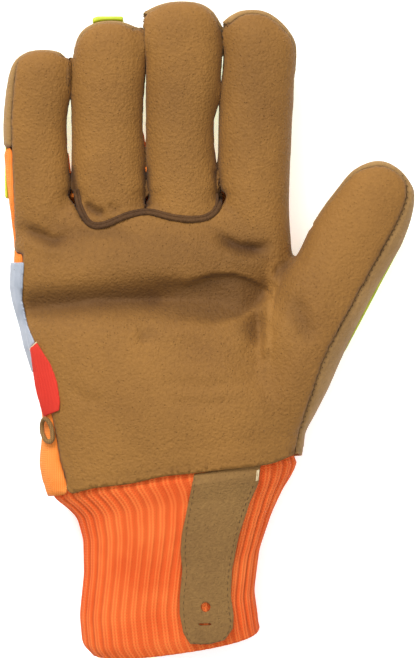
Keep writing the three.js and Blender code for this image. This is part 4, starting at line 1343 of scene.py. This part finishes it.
@dataclass
class Trims:
    """The guards, the strip, the label, the cord loop, the strap, the rolled seam and the stitching."""

    hand: BVHTree
    guard_form: Form = Form(0.7 * MM, 6, 0.6)
    strap_form: Form = Form(0.3 * MM, 3, 0.4)
    fine_form: Form = Form(0.45 * MM, 4, 0.8)
    welt_step: float = 2.0
    welt_gap: float = 1.3
    welt_outer: tuple[float, float] = (1.0 * MM, -0.2 * MM)
    welt_inner: tuple[float, float] = (0.7 * MM, -0.35 * MM)
    strap_dip: float = 2.2 * MM
    strap_dip_length: float = 5 * MM
    strap_stitch: tuple[float, float, float] = (1.5, 2.6, 0.17)
    bar_radius: float = 0.24 * MM
    thumb_stitch: tuple[float, float, float] = (0.7, 2.4, 0.2)
    thumb_stitch_rise: float = -0.75 * MM
    strip_edge: float = 22.0 * MM
    strip_edge_fade: float = 4 * MM
    strip_fold: tuple[float, float] = (1.7 * MM, 0.5 * MM)
    strip_swell: float = 0.35 * MM
    strip_thread: float = 0.16 * MM
    label_bulge: float = 0.45
    label_thread: float = 0.32 * MM
    thread_rise: float = 0.05 * MM
    loop_swell: float = 0.2 * MM

    def copy(self, name: str, form: Form) -> tuple[bpy.types.Object, Points]:
        """Rebuilds one CAD node with soft edges.

        Args:
            name: The CAD node.
            form: How the copy is made anew.

        Returns:
            The piece, not yet dressed, and its points.
        """
        obj = remeshed(object_of(name + "_form", merged_copy((name,))), form.voxel)
        points = Points(obj.data)
        points.relax(form.passes, form.fill)
        points.write()
        chart_flat(obj)
        return obj, points

    def guards(self) -> None:
        """Builds the moulded guards of the fingers, the thumb and the knuckles."""
        for name in GUARDS:
            obj, _ = self.copy(name, self.guard_form)
            dress(obj, GUARD_RUBBER, (name,))

    def welt(self) -> None:
        """Builds the rolled seam: two rolls of leather side by side in the channel of the seam."""
        line = tuple(spaced(WELT_LINE, self.welt_step))
        radius, rise = self.welt_outer
        outer = tube("rolled_seam_outer", seated(line, (self.hand,), rise), radius)
        dress(outer, SEAM_LEATHER, ("rolled_seam",))
        shifted = []
        for i, (x, y) in enumerate(line):
            ax, ay = line[max(i - 1, 0)]
            bx, by = line[min(i + 1, len(line) - 1)]
            aside = self.welt_gap / math.hypot(bx - ax, by - ay)
            shifted.append((x - (by - ay) * aside, y + (bx - ax) * aside))
        radius, rise = self.welt_inner
        inner = tube("rolled_seam_inner", seated(tuple(shifted), (self.hand,), rise), radius)
        dress(inner, SEAM_LEATHER)

    def strap(self) -> None:
        """Builds the pull strap with its two rows of stitching and its bar of cream thread."""
        obj, points = self.copy("pull_strap", self.strap_form)
        past = (points.places - np.array(on_palm(0, 0))) @ np.array(CUFF_AHEAD)
        dip = np.clip(1 - past / self.strap_dip_length, 0.0, 1.0)
        points.places[:, 2] -= self.strap_dip * dip
        points.write()
        top = tree_of(obj.data)
        dress(obj, STRAP_LEATHER, ("pull_strap",))
        row = stitches("strap_stitches", STRAP_ROW, (top,), self.strap_stitch, 0.0)
        dress(row, DARK_THREAD)
        for number, line in enumerate(STRAP_BARS):
            across = seated(line, (top,), self.thread_rise)
            bar = tube(f"strap_bar_{number}", across, self.bar_radius)
            dress(bar, PALE_THREAD)

    def small_parts(self) -> None:
        """Builds the strip, the label with its folded edge and the cord loop."""
        strip, points = self.copy("reflective_band", self.fine_form)
        above = points.places[:, 2] - self.strip_edge
        edge = np.clip(above / self.strip_edge_fade, 0.0, 1.0)
        inwards, upwards = self.strip_fold
        points.places[:, 0] += inwards * edge * (points.places[:, 0] < 0)
        points.places[:, 2] += upwards * edge
        points.places += points.normals() * self.strip_swell
        points.write()
        dress(strip, STRIP_TAPE, ("reflective_band",))
        line = seated(STRIP_HEM, (tree_of(strip.data),), 0.0)
        hem = tube("strip_hem_line", line, self.strip_thread)
        dress(hem, DARK_THREAD)
        label, points = self.copy("woven_label", self.fine_form)
        start, end = (np.array(on_palm(*place)) for place in LABEL_MIDDLE)
        run = (end - start)[:2]
        share = ((points.places - start)[:, :2] @ run) / (run @ run)
        across = (points.places - start)[:, :2] - share[:, None] * run
        bulge = self.label_bulge * np.sin(np.pi * np.clip(share, 0.0, 1.0))
        points.places[:, :2] += across * bulge[:, None]
        points.write()
        dress(label, LABEL_CLOTH, ("woven_label",))
        line = seated(LABEL_TOP, (tree_of(label.data), self.hand), self.thread_rise)
        fold = tube("label_folded_edge", line, self.label_thread)
        dress(fold, PALE_THREAD)
        loop, points = self.copy("hanging_loop", self.fine_form)
        points.places += points.normals() * self.loop_swell
        points.write()
        dress(loop, LOOP_CORD, ("hanging_loop",))

    def build(self) -> None:
        """Builds all the trims."""
        self.guards()
        self.welt()
        self.strap()
        self.small_parts()
        size, rise = self.thumb_stitch, self.thumb_stitch_rise
        row = stitches("thumb_seam_stitches", THUMB_SEAM, (self.hand,), size, rise)
        dress(row, DARK_THREAD)


@dataclass
class Studio:
    """The pale floor, the soft lights and the camera straight above."""

    centre: tuple[float, float, float] = (-0.14 * MM, 0.85 * MM, 25 * MM)
    view_height: float = 276.2 * MM
    lens: float = 150.0
    floor_colour: str = "#f4f4f4"
    floor_glow: float = 0.55

    def floor(self) -> None:
        """Lays a wide pale floor under the glove."""
        bm = bmesh.new()
        bmesh.ops.create_grid(bm, x_segments=1, y_segments=1, size=4.0)
        obj = object_of("floor", bm)
        # The floor: plain white paper, evenly bright, with only a faint shadow under the glove.
        paint = Paint("matt_paper_floor")
        shader = paint.node("ShaderNodeBsdfPrincipled", {
            "Base Color": linear(self.floor_colour),
            "Roughness": 0.95,
            "Specular IOR Level": 0.1,
            "Emission Color": linear(self.floor_colour),
            "Emission Strength": self.floor_glow,
        })
        paint.node("ShaderNodeOutputMaterial", links={"Surface": shader.outputs[0]})
        obj.data.materials.append(paint.material)

    def lamp(self, name: str, place: Vector, size: float, power: float) -> None:
        """Hangs one square soft light that points at the glove.

        Args:
            name: The light's name.
            place: Where it hangs.
            size: The length of its sides, in metres.
            power: Its power, in watts.
        """
        data = bpy.data.lights.new(name, "AREA")
        data.shape = "SQUARE"
        data.size = size
        data.energy = power
        lamp = bpy.data.objects.new(name, data)
        lamp.location = place
        lamp.rotation_euler = (Vector(self.centre) - place).to_track_quat("-Z", "Y").to_euler()
        bpy.context.scene.collection.objects.link(lamp)

    def build(self) -> None:
        """Sets up the studio."""
        self.floor()
        self.lamp("key_light", Vector((-0.45, 0.85, 0.9)), 0.6, 15.0)
        self.lamp("fill_light", Vector((0.8, -0.4, 1.1)), 0.9, 3.0)
        self.lamp("top_light", Vector((0.0, 0.0, 1.6)), 1.2, 14.0)
        world = bpy.data.worlds.new("studio")
        world.use_nodes = True
        world.node_tree.nodes["Background"].inputs["Color"].default_value = linear("#ffffff")
        world.node_tree.nodes["Background"].inputs["Strength"].default_value = 0.16
        bpy.context.scene.world = world
        bpy.context.scene.view_settings.view_transform = "Standard"
        data = bpy.data.cameras.new("camera")
        data.lens = self.lens
        camera = bpy.data.objects.new("camera", data)
        distance = self.view_height * self.lens / data.sensor_width
        camera.location = Vector(self.centre) + Vector((0, 0, distance))
        bpy.context.scene.collection.objects.link(camera)
        bpy.context.scene.camera = camera


def main() -> None:
    """Builds the glove's pieces in order."""
    Studio().build()
    hand = LeatherShell().build()
    WristKnit().build()
    Trims(hand).build()


if __name__ == "__main__":
    main()
